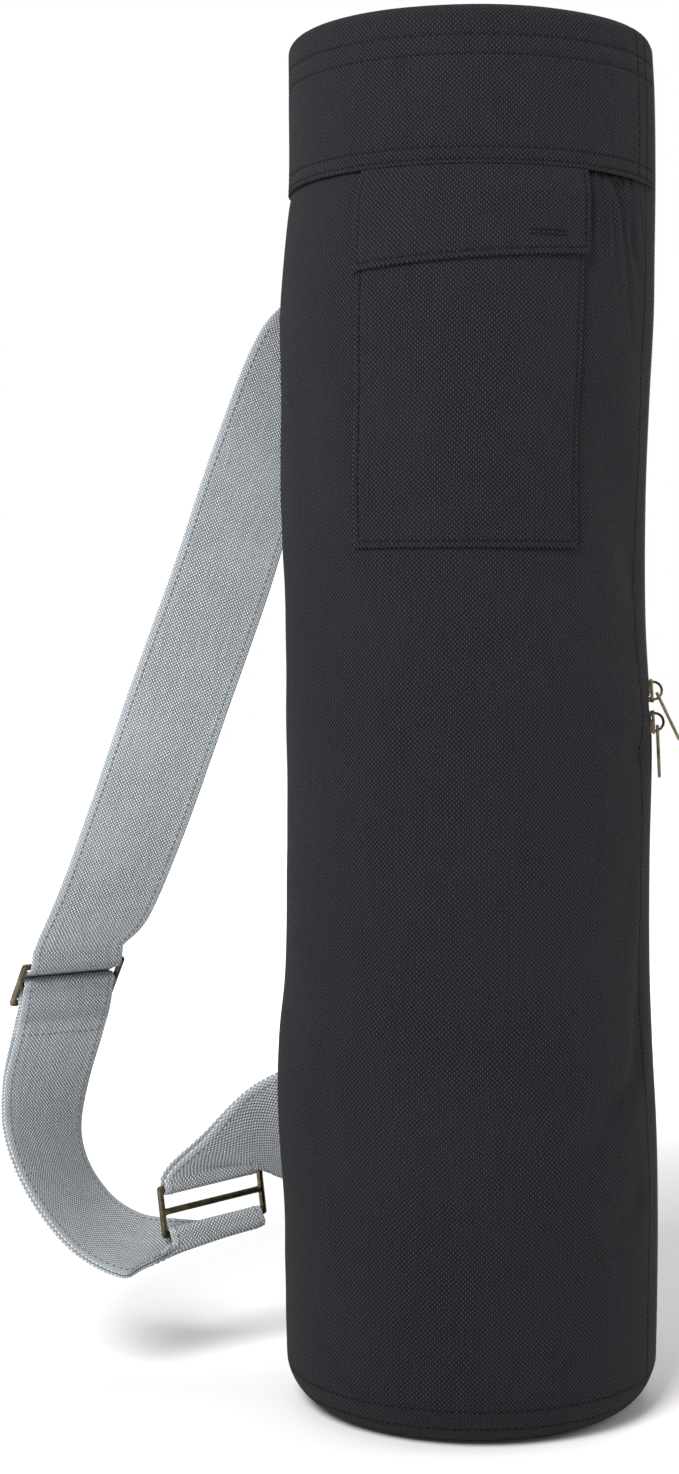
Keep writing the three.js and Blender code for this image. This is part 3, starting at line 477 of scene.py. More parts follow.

# %% [markdown]
# The colour runs from a painted shade in the gaps to a painted highlight on the tops of the
# threads. Where the warp lies on top it takes its full colour, and where the weft does only a
# share of it. Slow patches fade the dye, and edges that rub, which the pieces store as wear, fade
# as well. Plain noise would be quicker, but would look like felt.

# %% Woven cloth
def woven_cloth(name, pitch, low, high, fade, relief, roughness, sheen, weft):
    """Plain weave: painted shade in the gaps, painted highlight on the thread tops, weft darker than
    warp by a share, uneven threads, slow fading.
    """
    material, tree, shader = new_material(name)
    height, on_top, threads = weave(tree, pitch)
    warp_streaks = slubs(tree, threads, (1.0, 0.06, 1.0), 1.1)
    weft_streaks = slubs(tree, threads, (0.06, 1.0, 1.0), 1.1)
    streaks = add_node(tree, "ShaderNodeMix", {"Factor": on_top, "A": weft_streaks, "B": warp_streaks})
    spread = add_node(
        tree, "ShaderNodeMapRange",
        {"Value": streaks.outputs["Result"], "From Min": 0.3, "From Max": 0.7, "To Min": 0.7})
    shade = add_node(tree, "ShaderNodeMapRange", {"Value": on_top, "To Min": weft})
    # Painted highlight on the thread tops and painted shade in the gaps, scaled by the slubs
    painted_shade_and_highlight = add_node(tree, "ShaderNodeMath", {0: height, 1: spread}, operation="MULTIPLY")
    painted_light_and_warp_tone = add_node(tree, "ShaderNodeMath", {0: painted_shade_and_highlight, 1: shade}, operation="MULTIPLY")
    # The low colour is the painted shade in the gaps, and the high colour the painted highlight on the
    # thread tops
    thread = add_node(
        tree, "ShaderNodeMix",
        {"Factor": painted_light_and_warp_tone, "A": hex_colour(low), "B": hex_colour(high)},
        data_type="RGBA")
    place = add_node(tree, "ShaderNodeTexCoord")
    clouds = add_node(
        tree, "ShaderNodeTexNoise",
        {"Vector": place.outputs["Object"], "Scale": 14.0, "Detail": 4.0, "Roughness": 0.65})
    patch = add_node(
        tree, "ShaderNodeMapRange",
        {"Value": clouds, "From Min": 0.45, "From Max": 0.8, "To Max": 0.3})
    faded = add_node(
        tree, "ShaderNodeMix",
        {"Factor": patch, "A": thread.outputs["Result"], "B": hex_colour(fade)},
        data_type="RGBA")
    wear = add_node(tree, "ShaderNodeAttribute", attribute_name="wear")
    rubbed = add_node(
        tree, "ShaderNodeMix",
        {"Factor": wear.outputs["Fac"], "A": faded.outputs["Result"], "B": hex_colour(fade)},
        data_type="RGBA")
    tree.links.new(rubbed.outputs["Result"], shader.inputs["Base Color"])
    bump = add_node(
        tree, "ShaderNodeBump", {"Height": height, "Strength": relief, "Distance": pitch * 0.35})
    tree.links.new(bump.outputs[0], shader.inputs["Normal"])
    dry = add_node(
        tree, "ShaderNodeMapRange",
        {"Value": height, "To Min": min(roughness + 0.08, 1.0), "To Max": roughness})
    tree.links.new(dry.outputs[0], shader.inputs["Roughness"])
    shader.inputs["IOR"].default_value = 1.45
    shader.inputs["Specular IOR Level"].default_value = 0.25
    shader.inputs["Sheen Weight"].default_value = sheen
    shader.inputs["Sheen Roughness"].default_value = 0.45
    shader.inputs["Sheen Tint"].default_value = hex_colour("#c9c9d2")
    return material


print("cloth recipe:", woven_cloth.__doc__)

# %% [markdown]
# The bag is a tight cotton duck, dyed charcoal after weaving, with a thread each 0.6 mm. The
# strap is a heavier grey canvas with a thread each 0.8 mm, and the zip's tape is a flat weave
# of polyester with a thread each 0.35 mm. All three are too fine to show in the picture, so
# they are drawn 1.1, 0.95 and 0.7 mm apart. In both canvases the warp is paler than the weft,
# so the places where it lies on top make diagonal rows of grains.

# %% Cloth materials
# Dyed cotton duck: dry and nearly black, with painted shade in the gaps, a painted highlight
# on the thread tops, and a paler grain where each warp thread comes up
charcoal_canvas = woven_cloth(
    "charcoal dyed cotton duck", pitch=0.0011, low="#020203", high="#38353d", fade="#222026",
    relief=1.0, roughness=0.92, sheen=0.02, weft=0.06)
# Pale warp over a grey weft: a coarse, dry surface with a clear slanting grain, painted shade
# in the gaps and a painted highlight on the thread tops
grey_canvas = woven_cloth(
    "grey cotton strap canvas", pitch=0.00095, low="#3f4549", high="#f6fbff", fade="#b0b6ba",
    relief=0.8, roughness=0.9, sheen=0.05, weft=0.15)
# Woven polyester: flatter and slightly glossier than the cotton round it, with painted shade in
# the gaps and a painted highlight on the thread tops
zip_tape_cloth = woven_cloth(
    "black woven zip tape", pitch=0.0007, low="#0b0b0d", high="#222226", fade="#26262b",
    relief=0.6, roughness=0.62, sheen=0.05, weft=0.6)
print("cloth materials:", charcoal_canvas.name, grey_canvas.name, zip_tape_cloth.name)

# %% [markdown]
# Antique brass is brass that was blackened in a bath and then tumbled, so it is a dull gold in
# some patches and brown in others. Its grain of about 0.2 mm is drawn at 0.7 mm, or it would
# not show. The colour and the gloss follow the same patches, because the brown is a dull film.

# %% Antique brass
def make_brass():
    """Blackened and tumbled brass: dull gold and brown in patches, with a fine grain."""
    material, tree, shader = new_material("tumbled antique brass")
    place = add_node(tree, "ShaderNodeTexCoord")
    stain = add_node(
        tree, "ShaderNodeTexNoise",
        {"Vector": place.outputs["Object"], "Scale": 160.0, "Detail": 5.0, "Roughness": 0.6})
    patch = add_node(tree, "ShaderNodeMapRange", {"Value": stain, "From Min": 0.35, "From Max": 0.7})
    colour = add_node(
        tree, "ShaderNodeMix",
        {"Factor": patch, "A": hex_colour("#3a3327"), "B": hex_colour("#857a5f")},
        data_type="RGBA")
    tree.links.new(colour.outputs["Result"], shader.inputs["Base Color"])
    gloss = add_node(tree, "ShaderNodeMapRange", {"Value": stain, "To Min": 0.46, "To Max": 0.26})
    tree.links.new(gloss.outputs[0], shader.inputs["Roughness"])
    grain = add_node(
        tree, "ShaderNodeTexNoise",
        {"Vector": place.outputs["Object"], "Scale": 1400.0, "Detail": 2.0})
    bump = add_node(tree, "ShaderNodeBump", {"Height": grain, "Strength": 0.15, "Distance": 0.0002})
    tree.links.new(bump.outputs[0], shader.inputs["Normal"])
    shader.inputs["Metallic"].default_value = 1.0
    return material


# Brass, blackened and tumbled: a warm, uneven metal with a soft highlight
antique_brass = make_brass()
print("metal:", antique_brass.name)

# %% [markdown]
# Sewing thread is a twist of polyester, and the coil of the zip is a smooth moulded nylon wire.
# Both are plain finishes with a fine noise in colour and relief, so one function makes them.

# %% Nylon and thread
def make_plain(name, low, high, grain, roughness, relief, shine=0.5):
    """A plain finish with a fine noise in its colour and relief."""
    material, tree, shader = new_material(name)
    place = add_node(tree, "ShaderNodeTexCoord")
    specks = add_node(
        tree, "ShaderNodeTexNoise",
        {"Vector": place.outputs["Object"], "Scale": 1 / grain, "Detail": 2.0})
    colour = add_node(
        tree, "ShaderNodeMix",
        {"Factor": specks, "A": hex_colour(low), "B": hex_colour(high)},
        data_type="RGBA")
    tree.links.new(colour.outputs["Result"], shader.inputs["Base Color"])
    bump = add_node(
        tree, "ShaderNodeBump",
        {"Height": specks, "Strength": relief, "Distance": grain / 4})
    tree.links.new(bump.outputs[0], shader.inputs["Normal"])
    shader.inputs["Roughness"].default_value = roughness
    shader.inputs["Specular IOR Level"].default_value = shine
    return material


# Moulded nylon wire: smooth, with a small soft highlight on each turn
nylon_coil = make_plain("black nylon zip coil", "#141416", "#232327", 0.0006, 0.42, 0.1)
# Polyester thread, matt and darker than its cloth, so that a row reads as a dotted line. Its
# twist of 0.2 mm is drawn as mottling of 0.5 mm
charcoal_thread = make_plain("charcoal sewing thread", "#060507", "#131215", 0.0005, 0.85, 0.3, 0.15)
grey_thread = make_plain("grey sewing thread", "#4f5356", "#84888b", 0.0005, 0.8, 0.3, 0.2)
print("plain materials:", nylon_coil.name, charcoal_thread.name, grey_thread.name)

# %% [markdown]
# Pieces and closed shells
#
# Every piece is a smooth mesh that rides on the bag's body in the frame. Cloth also stores its
# flat coordinates and its wear as attributes of the points, which outlast any change to the
# faces. Rings of points that are joined one to the next make the tubes.

# %% Make a piece
def make_piece(name, points, faces, material, cloth=None, wear=None):
    """A smooth mesh piece that rides on the bag, with its flat coordinates and its wear."""
    mesh = bpy.data.meshes.new(name)
    mesh.from_pydata(np.asarray(points).tolist(), [], faces)
    mesh.polygons.foreach_set("use_smooth", [True] * len(mesh.polygons))
    if cloth is not None:
        layer = mesh.attributes.new("cloth", "FLOAT_VECTOR", "POINT")
        layer.data.foreach_set("vector", np.asarray(cloth, np.float32).ravel())
    if wear is not None:
        layer = mesh.attributes.new("wear", "FLOAT", "POINT")
        layer.data.foreach_set("value", np.asarray(wear, np.float32).ravel())
    mesh.materials.append(material)
    piece = bpy.data.objects.new(name, mesh)
    scene.collection.objects.link(piece)
    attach(piece, "bag")
    return piece


def ring_faces(rings, sides, start=0):
    """Four-sided faces that join each ring of points to the next one."""
    pairs = [(start + ring * sides + k, start + ring * sides + (k + 1) % sides)
             for ring in range(rings - 1) for k in range(sides)]
    return [(a, a + sides, b + sides, b) for a, b in pairs]


print("a tube of 3 rings of 6 points has", len(ring_faces(3, 6)), "faces")

# %% [markdown]
# Each cloth piece has a thickness, so it is a closed shell: an outer grid of points, an inner
# grid, and a rim that joins them. On a free edge the rim is pushed out a little in its middle,
# which rounds the fold of the hem. A solidify modifier could thicken a sheet too, but the two
# grids let the inner face follow what lies under it.

# %% Closed shells
def border_of(rows, columns):
    """Row and column of each point on a grid's border, in order."""
    loop = [(0, c) for c in range(columns - 1)]
    loop += [(r, columns - 1) for r in range(rows - 1)]
    loop += [(rows - 1, c) for c in range(columns - 1, 0, -1)]
    loop += [(r, 0) for r in range(rows - 1, 0, -1)]
    return np.array(loop)


def shell_mesh(outer, inner, bulge=0.0):
    """Points and faces of a closed shell. The rim's middle stands out by a share of the wall."""
    rows, columns = outer.shape[:2]
    grid = np.arange(rows * columns).reshape(rows, columns)
    inner_start = rows * columns
    low, right = grid[:-1, :-1], grid[:-1, 1:]
    high, corner = grid[1:, :-1], grid[1:, 1:]
    faces = np.stack([low, right, corner, high], axis=-1).reshape(-1, 4).tolist()
    back = np.stack([low, high, corner, right], axis=-1).reshape(-1, 4) + inner_start
    faces += back.tolist()
    loop = border_of(rows, columns)
    inside = np.stack([np.clip(loop[:, 0], 1, rows - 2), np.clip(loop[:, 1], 1, columns - 2)], axis=-1)
    edge_outer = outer[loop[:, 0], loop[:, 1]]
    edge_inner = inner[loop[:, 0], loop[:, 1]]
    away = edge_outer - outer[inside[:, 0], inside[:, 1]]
    away = away / np.linalg.norm(away, axis=-1, keepdims=True)
    wall = np.linalg.norm(edge_outer - edge_inner, axis=-1, keepdims=True)
    middle = (edge_outer + edge_inner) / 2 + away * wall * bulge
    ids = grid[loop[:, 0], loop[:, 1]]
    mids = np.arange(len(loop)) + 2 * inner_start
    for a, b in zip(range(len(loop)), np.roll(np.arange(len(loop)), -1)):
        faces.append([int(ids[b]), int(ids[a]), int(mids[a]), int(mids[b])])
        faces.append([int(mids[b]), int(mids[a]), int(ids[a] + inner_start), int(ids[b] + inner_start)])
    points = np.concatenate([outer.reshape(-1, 3), inner.reshape(-1, 3), middle])
    return points, faces


def grid_cloth(rows, columns, value):
    """A value given on the grid, repeated for the outer points, the inner points and the rim."""
    loop = border_of(rows, columns)
    flat = value.reshape(rows * columns, -1)
    rim = value[loop[:, 0], loop[:, 1]].reshape(len(loop), -1)
    return np.concatenate([flat, flat, rim])


print("the rim of a 3 by 4 grid has", len(border_of(3, 4)), "points")

# %% [markdown]
# The wall of the tube is a grid of rows and columns. Most rows are level, and the rows of a
# rolled edge go round a quarter circle. Rows and columns stand closer where a row of stitches
# pulls a groove into the cloth, because a groove needs several points across to show.

# %% Rows and columns of the wall
def level_rows(heights):
    """Rows of the wall as height, inset and lean of the outside from level."""
    heights = np.asarray(heights, float)
    return heights, np.zeros_like(heights), np.zeros_like(heights)


def roll_rows(end, leans):
    """Rows of the rolled edge at the base (end -1) or the top (end 1)."""
    lean = np.radians(np.asarray(leans, float))
    roll = BASE_ROLL if end < 0 else TOP_ROLL
    rise = roll * (1 - np.sin(lean))
    height = rise if end < 0 else BAG_HEIGHT - rise
    return height, roll * (1 - np.cos(lean)), end * lean


def joined_rows(*parts):
    """Several stretches of rows as one."""
    return tuple(np.concatenate(values) for values in zip(*parts))


def row_points(rows, angles, depth):
    """Grid of points at rows and angles, a depth below the outside."""
    height, inset, lean = (values[:, None] for values in rows)
    points = tube_point(angles[None, :], height, inset + depth * np.cos(lean))
    points[..., 2] -= depth * np.sin(lean)
    return points


def spaced(low, high, step, close=(), close_step=None, reach=0.0):
    """Even values between two limits, with a closer step round some of them."""
    values = np.linspace(low, high, max(int(round((high - low) / step)), 1) + 1)[1:-1]
    for place in close:
        extra = np.arange(place - reach, place + reach + close_step / 2, close_step)
        values = np.concatenate([values[np.abs(values - place) > reach + close_step / 2], extra])
    room = (close_step or step) / 3
    inside = np.sort(values[(values > low + room) & (values < high - room)])
    kept = [low]
    for value in inside:
        if value > kept[-1] + room:
            kept.append(value)
    return np.array(kept + [high])


def stitch_groove(distance, deep=0.0003, wide=0.0009):
    """How far a row of stitches pulls the cloth in at a distance from it."""
    return deep * np.exp(-(np.asarray(distance) / wide) ** 2)


print("steps closer round the middle:", spaced(0, 0.01, 0.002, [0.005], 0.0005, 0.001).round(4))

# %% [markdown]
# Stitches
#
# A lockstitch shows as a row of short raised threads, each dipping into the cloth at both
# ends. One stitch is a thin tube with its ends bent down. It is made of real geometry rather
# than relief in a material, so that it also catches the light from the side.

# %% Stitch helper
STITCH_PITCH = 0.0032
STITCH_LENGTH = 0.0025
THREAD_RADIUS = 0.00032
THREAD_SIDES = 6


def along_path(points, normals, pitch):
    """Places, directions and normals at even steps along a path."""
    points = np.asarray(points)
    steps = np.linalg.norm(np.diff(points, axis=0), axis=1)
    travel = np.concatenate([[0], np.cumsum(steps)])
    count = max(int(travel[-1] / pitch), 1)
    spots = (np.arange(count) + 0.5) * travel[-1] / count
    ends = [np.stack([np.interp(spots + shift, travel, points[:, k]) for k in range(3)], axis=-1)
            for shift in (-pitch / 3, 0, pitch / 3)]
    up = np.stack([np.interp(spots, travel, np.asarray(normals)[:, k]) for k in range(3)], axis=-1)
    direction = ends[2] - ends[0]
    direction = direction / np.linalg.norm(direction, axis=1, keepdims=True)
    up = up - direction * np.sum(up * direction, axis=1, keepdims=True)
    up = up / np.linalg.norm(up, axis=1, keepdims=True)
    return ends[1], direction, up


def stitch_shape():
    """One stitch, lying along x with z up: rings of points and its faces."""
    profile = [
        (-0.5, 0.35, -1.0), (-0.36, 0.85, 0.1), (0.0, 1.0, 0.35), (0.36, 0.85, 0.1), (0.5, 0.35, -1.0)]
    turn = np.arange(THREAD_SIDES) / THREAD_SIDES * 2 * math.pi
    points = []
    for share, wide, lift in profile:
        for angle in turn:
            points.append((
                share * STITCH_LENGTH,
                math.cos(angle) * wide * THREAD_RADIUS * 1.15,
                (math.sin(angle) * wide + lift) * THREAD_RADIUS))
    faces = [face[::-1] for face in ring_faces(len(profile), THREAD_SIDES)]
    faces += [tuple(range(THREAD_SIDES))[::-1], tuple(range(len(points) - THREAD_SIDES, len(points)))]
    return np.array(points), faces


print("one stitch has", len(stitch_shape()[1]), "faces")

# %% [markdown]
# Thousands of stitches would be slow as objects, so one function lays them all along their
# paths as points and faces, and each group of seams becomes one mesh.

# %% Sewing along a path
def sew(name, paths, material, pitch=STITCH_PITCH):
    """One mesh of stitches along several paths, each a list of points and of normals."""
    shape, shape_faces = stitch_shape()
    points, faces = [], []
    for path, normals in paths:
        spots, along, up = along_path(path, normals, pitch)
        across = np.cross(up, along)
        for spot, x, y, z in zip(spots, along, across, up):
            start = len(points) * len(shape)
            points.append(spot + shape @ np.array([x, y, z]))
            faces += [tuple(start + i for i in face) for face in shape_faces]
    piece = make_piece(name, np.concatenate(points), faces, material)
    print(name, "-", len(points), "stitches")
    return piece


def path_on_tube(angles, heights, depth):
    """Path over the tube's cloth with its normals; depth gives the cloth's depth there."""
    angles, heights = np.broadcast_arrays(*map(np.float64, (angles, heights)))
    inset, lean = roll_at(heights)
    sunk = depth(angles, heights)
    points = tube_point(angles, heights, inset + sunk * np.cos(lean))
    points[..., 2] -= sunk * np.sin(lean)
    normals = outward(angles) * np.cos(lean)[..., None]
    normals[..., 2] = np.sin(lean)
    return points, normals


print("stitches in a metre:", round(1 / STITCH_PITCH))

# %% [markdown]
# The canvas tube
#
# The body is cut as one rectangle, wrapped round and hemmed on both sides of the zip. Its
# lower edge rolls under onto the base panel. Columns of points stand closer together where the
# gathers and the stitched rows are, so that a fold 2 mm wide still has a shape. One even grid
# fine enough for that would need many times the faces.

# %% Columns and grooves of the wall
ZIP_ROWS = (66.5, 101.5)
BASE_STITCH_HEIGHTS = (0.0195, 0.010)
SLIT_TURN = math.degrees(SLIT_HALF_WIDTH / BAG_HALF_WIDTH)
SLIT_START = ZIP_ANGLE + SLIT_TURN
SLIT_END = 360 + ZIP_ANGLE - SLIT_TURN
# Angles in degrees where the spacing of the columns changes
FRONT_START = 310
GATHERS_START = 393
GATHERS_END = 420


def wall_angles(stitched):
    """Columns of the wall from the slit's back edge round to its front edge, in degrees."""
    near_start = [a for a in stitched if a > ZIP_ANGLE]
    near_end = [a + 360 for a in stitched if a < ZIP_ANGLE]
    back = spaced(SLIT_START, FRONT_START, 3.0, near_start, 0.4, 1.2)
    front = spaced(FRONT_START, GATHERS_START, 1.7)
    gathers = spaced(GATHERS_START, GATHERS_END, 0.75)
    side = spaced(GATHERS_END, SLIT_END, 1.5, near_end, 0.4, 1.2)
    return np.concatenate([back[:-1], front[:-1], gathers[:-1], side])


def zip_row_groove(angle, rows):
    """Groove of the stitch rows that run beside the zip."""
    steps = [np.abs(unrolled(np.asarray(angle, float) - row, 0)[0]) for row in rows]
    return stitch_groove(np.min(steps, axis=0))


def body_face(angle, height):
    """Depth of the body's outside with its stitch rows."""
    base = [stitch_groove(np.asarray(height) - low) for low in BASE_STITCH_HEIGHTS]
    return body_depth(angle, height) + zip_row_groove(angle, ZIP_ROWS) + sum(base)


print("columns of the body's wall:", len(wall_angles(ZIP_ROWS)))

# %% [markdown]
# A wall piece takes its outside from a function of angle and height, and its inside one wall
# thickness deeper. Its flat coordinates are the distance round and up the cloth, so the weave
# runs straight up the bag as it was cut.

# %% Wall piece
SLIT_WEAR = 0.3
SLIT_WEAR_REACH = 0.0012


def cloth_coordinates(angles, rows):
    """Flat coordinates in metres of a grid on the tube."""
    height, inset, lean = rows
    flat = np.zeros((len(height), len(angles), 3))
    flat[..., 0] = np.radians(angles)[None, :] * BAG_HALF_WIDTH
    flat[..., 1] = (height + np.sign(lean) * inset * 0.6)[:, None]
    return flat


def slit_wear(angles, rows):
    """Rubbing along the folded edges of the zip's slit."""
    edge = np.abs(from_zip(angles) - SLIT_HALF_WIDTH)
    return np.tile(SLIT_WEAR * np.exp(-edge / SLIT_WEAR_REACH), (len(rows[0]), 1))


def wall_piece(name, rows, angles, depth, wall, node):
    """A stretch of the tube's wall as a closed shell of charcoal canvas."""
    outside = depth(angles[None, :], rows[0][:, None])
    points, faces = shell_mesh(
        row_points(rows, angles, outside), row_points(rows, angles, outside + wall))
    size = len(rows[0]), len(angles)
    cloth = grid_cloth(*size, cloth_coordinates(angles, rows))
    wear = grid_cloth(*size, slit_wear(angles, rows))
    piece = make_piece(name, points, faces, charcoal_canvas, cloth, wear)
    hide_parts(node)
    print(name, "-", len(faces), "faces")


print("wear at the slit's edge:", SLIT_WEAR)

# %% [markdown]
# The body's rows start on the base panel, roll up round the lower edge and end in the seam
# under the band. The last stretch has closer rows, because the gathers begin there.

# %% Body canvas
GATHERS_LOW = 0.53
stitched_leans = [math.degrees(math.asin(1 - row / BASE_ROLL)) for row in BASE_STITCH_HEIGHTS]
body_rows = joined_rows(
    roll_rows(-1, spaced(0, 90, 7, stitched_leans[::-1], 1.5, 4.5)[:0:-1]),
    level_rows(spaced(BASE_ROLL, GATHERS_LOW, 0.0042)),
    level_rows(spaced(GATHERS_LOW + 0.002, SEAM_HEIGHT - CLOTH_GAP / 2, 0.0022)))
wall_piece(
    "body_canvas", body_rows, wall_angles(ZIP_ROWS), body_face, CANVAS_WALL, "body_panel")

# %% [markdown]
# The top band is a doubled strip: its lower edge meets the body's in the seam and is stitched
# twice, and its upper edge rolls over the lid. Two more stitched rows run just below the rim.
# It is the same kind of wall as the body, so the same function makes it.

# %% Top band
BAND_STITCH_HEIGHTS = (0.5973, 0.603, 0.646, 0.655)
BAND_ZIP_ROWS = (60.0, 67.0, 101.0, 108.0)


def band_face(angle, height):
    """Depth of the band's outside with its stitch rows."""
    level = sum(stitch_groove(np.asarray(height) - row, 0.00035) for row in BAND_STITCH_HEIGHTS)
    return band_depth(angle, height) + level + zip_row_groove(angle, BAND_ZIP_ROWS)


band_rows = joined_rows(
    level_rows(spaced(
        SEAM_HEIGHT + CLOTH_GAP / 2, BAG_HEIGHT - TOP_ROLL, 0.0034,
        BAND_STITCH_HEIGHTS, 0.0006, 0.0016)),
    roll_rows(1, [10, 20, 30, 42, 54, 66, 78, 90]))
wall_piece(
    "band_canvas", band_rows, wall_angles(BAND_ZIP_ROWS), band_face, BAND_WALL, "top_band")

# %% [markdown]
# The lid and the base are round panels, cut flat and sewn into the rolled edges. A soft panel
# is never quite level, so the lid sags a little in its middle. Rings of points from the hub to
# the rim follow the tube's own outline, which a plain disc could not.

# %% Round end panels
PANEL_RINGS = 26
PANEL_COLUMNS = 120
LID_SAG = 0.0012


def end_panel(name, height, roll, sag, node):
    """A round panel inside the rolled edge, as a closed disc with its middle lowered."""
    angles = np.arange(PANEL_COLUMNS) * 360 / PANEL_COLUMNS
    rim = tube_point(angles, height, roll + CLOTH_GAP)
    centre = rim.mean(axis=0)
    points, faces = [], []
    for level in (height + DISC_WALL, height):
        for share in np.arange(1, PANEL_RINGS + 1) / PANEL_RINGS:
            loop = centre + (rim - centre) * share
            slack = slow_noise(angles, np.full(PANEL_COLUMNS, height), 0.05 / share, 2.2)
            loop[:, 2] = level - sag * (1 - 0.35 * slack) * (1 - share ** 2)
            points.append(loop)
        points.append(np.array([[centre[0], centre[1], level - sag]]))
    size = PANEL_RINGS * PANEL_COLUMNS
    sides = [(side, (side + 1) % PANEL_COLUMNS) for side in range(PANEL_COLUMNS)]
    for start, turn in ((0, 1), (size + 1, -1)):
        tips = [(start + size, start + side, start + after) for side, after in sides]
        faces += [face[::turn] for face in tips + ring_faces(PANEL_RINGS, PANEL_COLUMNS, start)]
    top = (PANEL_RINGS - 1) * PANEL_COLUMNS
    low = top + size + 1
    faces += [(top + side, low + side, low + after, top + after) for side, after in sides]
    points = np.concatenate(points)
    piece = make_piece(name, points, faces, charcoal_canvas, cloth=points)
    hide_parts(node)


end_panel("lid_canvas", BAG_HEIGHT - TOP_DISC_DROP - DISC_WALL, TOP_ROLL, LID_SAG, "top_disc")
end_panel("base_canvas", 0.0, BASE_ROLL, 0.0, "base_disc")

# %% [markdown]
# Pocket and flap
#
# The patch pocket is one layer with its edges turned under and stitched down, and it stands
# off the body a little in its middle. Its two faces are given as depths below the tube's
# outline, so it follows the body's folds and stays clear of them.

# %% Faces of the pocket
POCKET_WIDTH = 0.110
POCKET_HEIGHT = 0.176
POCKET_ANGLE = -1.8
POCKET_MOUTH_DROP = 0.012
POCKET_PUFF = 0.0012
HEM_STITCH = 0.0024
HEM_WIDTH = 0.009
POCKET_TURN = math.degrees(POCKET_WIDTH / 2 / BAG_HALF_WIDTH)
POCKET_TOP = SEAM_HEIGHT - CLOTH_GAP


def edge_relief(from_edge):
    """Extra depth near a hemmed edge: the seam's groove, and a step where the hem ends."""
    groove = stitch_groove(from_edge - HEM_STITCH, 0.00045, 0.0009)
    step = 0.00025 * smooth_step(from_edge, HEM_WIDTH - 0.001, HEM_WIDTH + 0.0015)
    return groove + step


def pocket_inner(angle, height):
    """Depth of the pocket's inner face: clear of the body and puffed in its middle."""
    side = np.cos((angle - POCKET_ANGLE) / POCKET_TURN * math.pi / 2)
    rise = np.sin((height - POCKET_TOP + POCKET_HEIGHT) / POCKET_HEIGHT * math.pi / 2)
    return body_depth(angle, height) - CLOTH_GAP - POCKET_PUFF * side * rise


def pocket_face(angle, height):
    """Depth of the pocket's outer face."""
    from_side = np.radians(POCKET_TURN - np.abs(angle - POCKET_ANGLE)) * BAG_HALF_WIDTH
    from_base = height - (POCKET_TOP - POCKET_HEIGHT)
    nearest = np.minimum(from_side, from_base)
    return pocket_inner(angle, height) - CANVAS_WALL + edge_relief(np.maximum(nearest, 0))


print("pocket spans", round(2 * POCKET_TURN, 1), "degrees of the tube")

# %% [markdown]
# The pocket and the flap are both patches with a stitched hem, so they share a function for
# their grid and one for their shell. The rim of the shell bulges, as the fold of a hem does.

# %% Pocket piece
def patch_grid(turn, low, high, step):
    """Columns and rows of a patch, closer along its stitches, and the angles of its side rows."""
    inset = math.degrees(HEM_STITCH / BAG_HALF_WIDTH)
    left, right = POCKET_ANGLE - turn, POCKET_ANGLE + turn
    sides = (left + inset, right - inset)
    angles = spaced(left, right, 1.2, sides, 0.4, 1.4)
    return angles, spaced(low, high, step, [low + HEM_STITCH], 0.0006, 0.002), sides


def patch_piece(name, angles, heights, outer, inner, node):
    """A patch of charcoal canvas that hangs on the bag, from the points of its two faces."""
    points, faces = shell_mesh(outer, inner, bulge=0.4)
    cloth = cloth_coordinates(angles, level_rows(heights))
    piece = make_piece(
        name, points, faces, charcoal_canvas,
        grid_cloth(len(heights), len(angles), cloth))
    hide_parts(node)
    print(name, "-", len(faces), "faces")


pocket_low = POCKET_TOP - POCKET_HEIGHT
pocket_mouth = POCKET_TOP - POCKET_MOUTH_DROP
pocket_angles, pocket_heights, pocket_sides = patch_grid(POCKET_TURN, pocket_low, pocket_mouth, 0.0022)
pocket_grid = (pocket_angles[None, :], pocket_heights[:, None])
patch_piece(
    "pocket_canvas", pocket_angles, pocket_heights,
    tube_point(*pocket_grid, pocket_face(*pocket_grid)),
    tube_point(*pocket_grid, pocket_inner(*pocket_grid)),
    "pocket")

# %% [markdown]
# The flap hangs over the pocket's mouth from the band's seam. Its lower edge runs a little
# askew, as it does on the real bag, so each place of a straight flap is moved up or down by a
# small drop, and the stitches on it are moved in the same way.

# %% Pocket flap
FLAP_LENGTH = 0.043
FLAP_SKEW = 0.008
FLAP_OVERHANG = 0.0015
FLAP_TURN = POCKET_TURN + math.degrees(FLAP_OVERHANG / BAG_HALF_WIDTH)


def flap_drop(angle, height):
    """How far a place of the flap hangs above or below where a straight flap would."""
    share = (POCKET_TOP - height) / FLAP_LENGTH
    return share * FLAP_SKEW * (angle - POCKET_ANGLE) / FLAP_TURN / 2


def flap_inner(angle, height):
    """Depth of the flap's inner face, which rises over the pocket's mouth."""
    share = np.clip((POCKET_TOP - height) / POCKET_MOUTH_DROP, 0, 1)
    side = np.maximum(np.cos((angle - POCKET_ANGLE) / FLAP_TURN * math.pi / 2), 0)
    lift = share * (CLOTH_GAP + CANVAS_WALL + POCKET_PUFF * side)
    return body_depth(angle, height) - CLOTH_GAP - lift


def flap_point(angle, height, thickness):
    """Points of the flap at angles and at the heights of a straight flap."""
    angle, height = np.broadcast_arrays(*map(np.float64, (angle, height)))
    real = height + flap_drop(angle, height)
    from_side = np.radians(FLAP_TURN - np.abs(angle - POCKET_ANGLE)) * BAG_HALF_WIDTH
    from_low = height - (POCKET_TOP - FLAP_LENGTH)
    relief = edge_relief(np.maximum(np.minimum(from_side, from_low), 0))
    sunk = relief if thickness > 0 else 0
    return tube_point(angle, real, flap_inner(angle, real) - thickness + sunk)


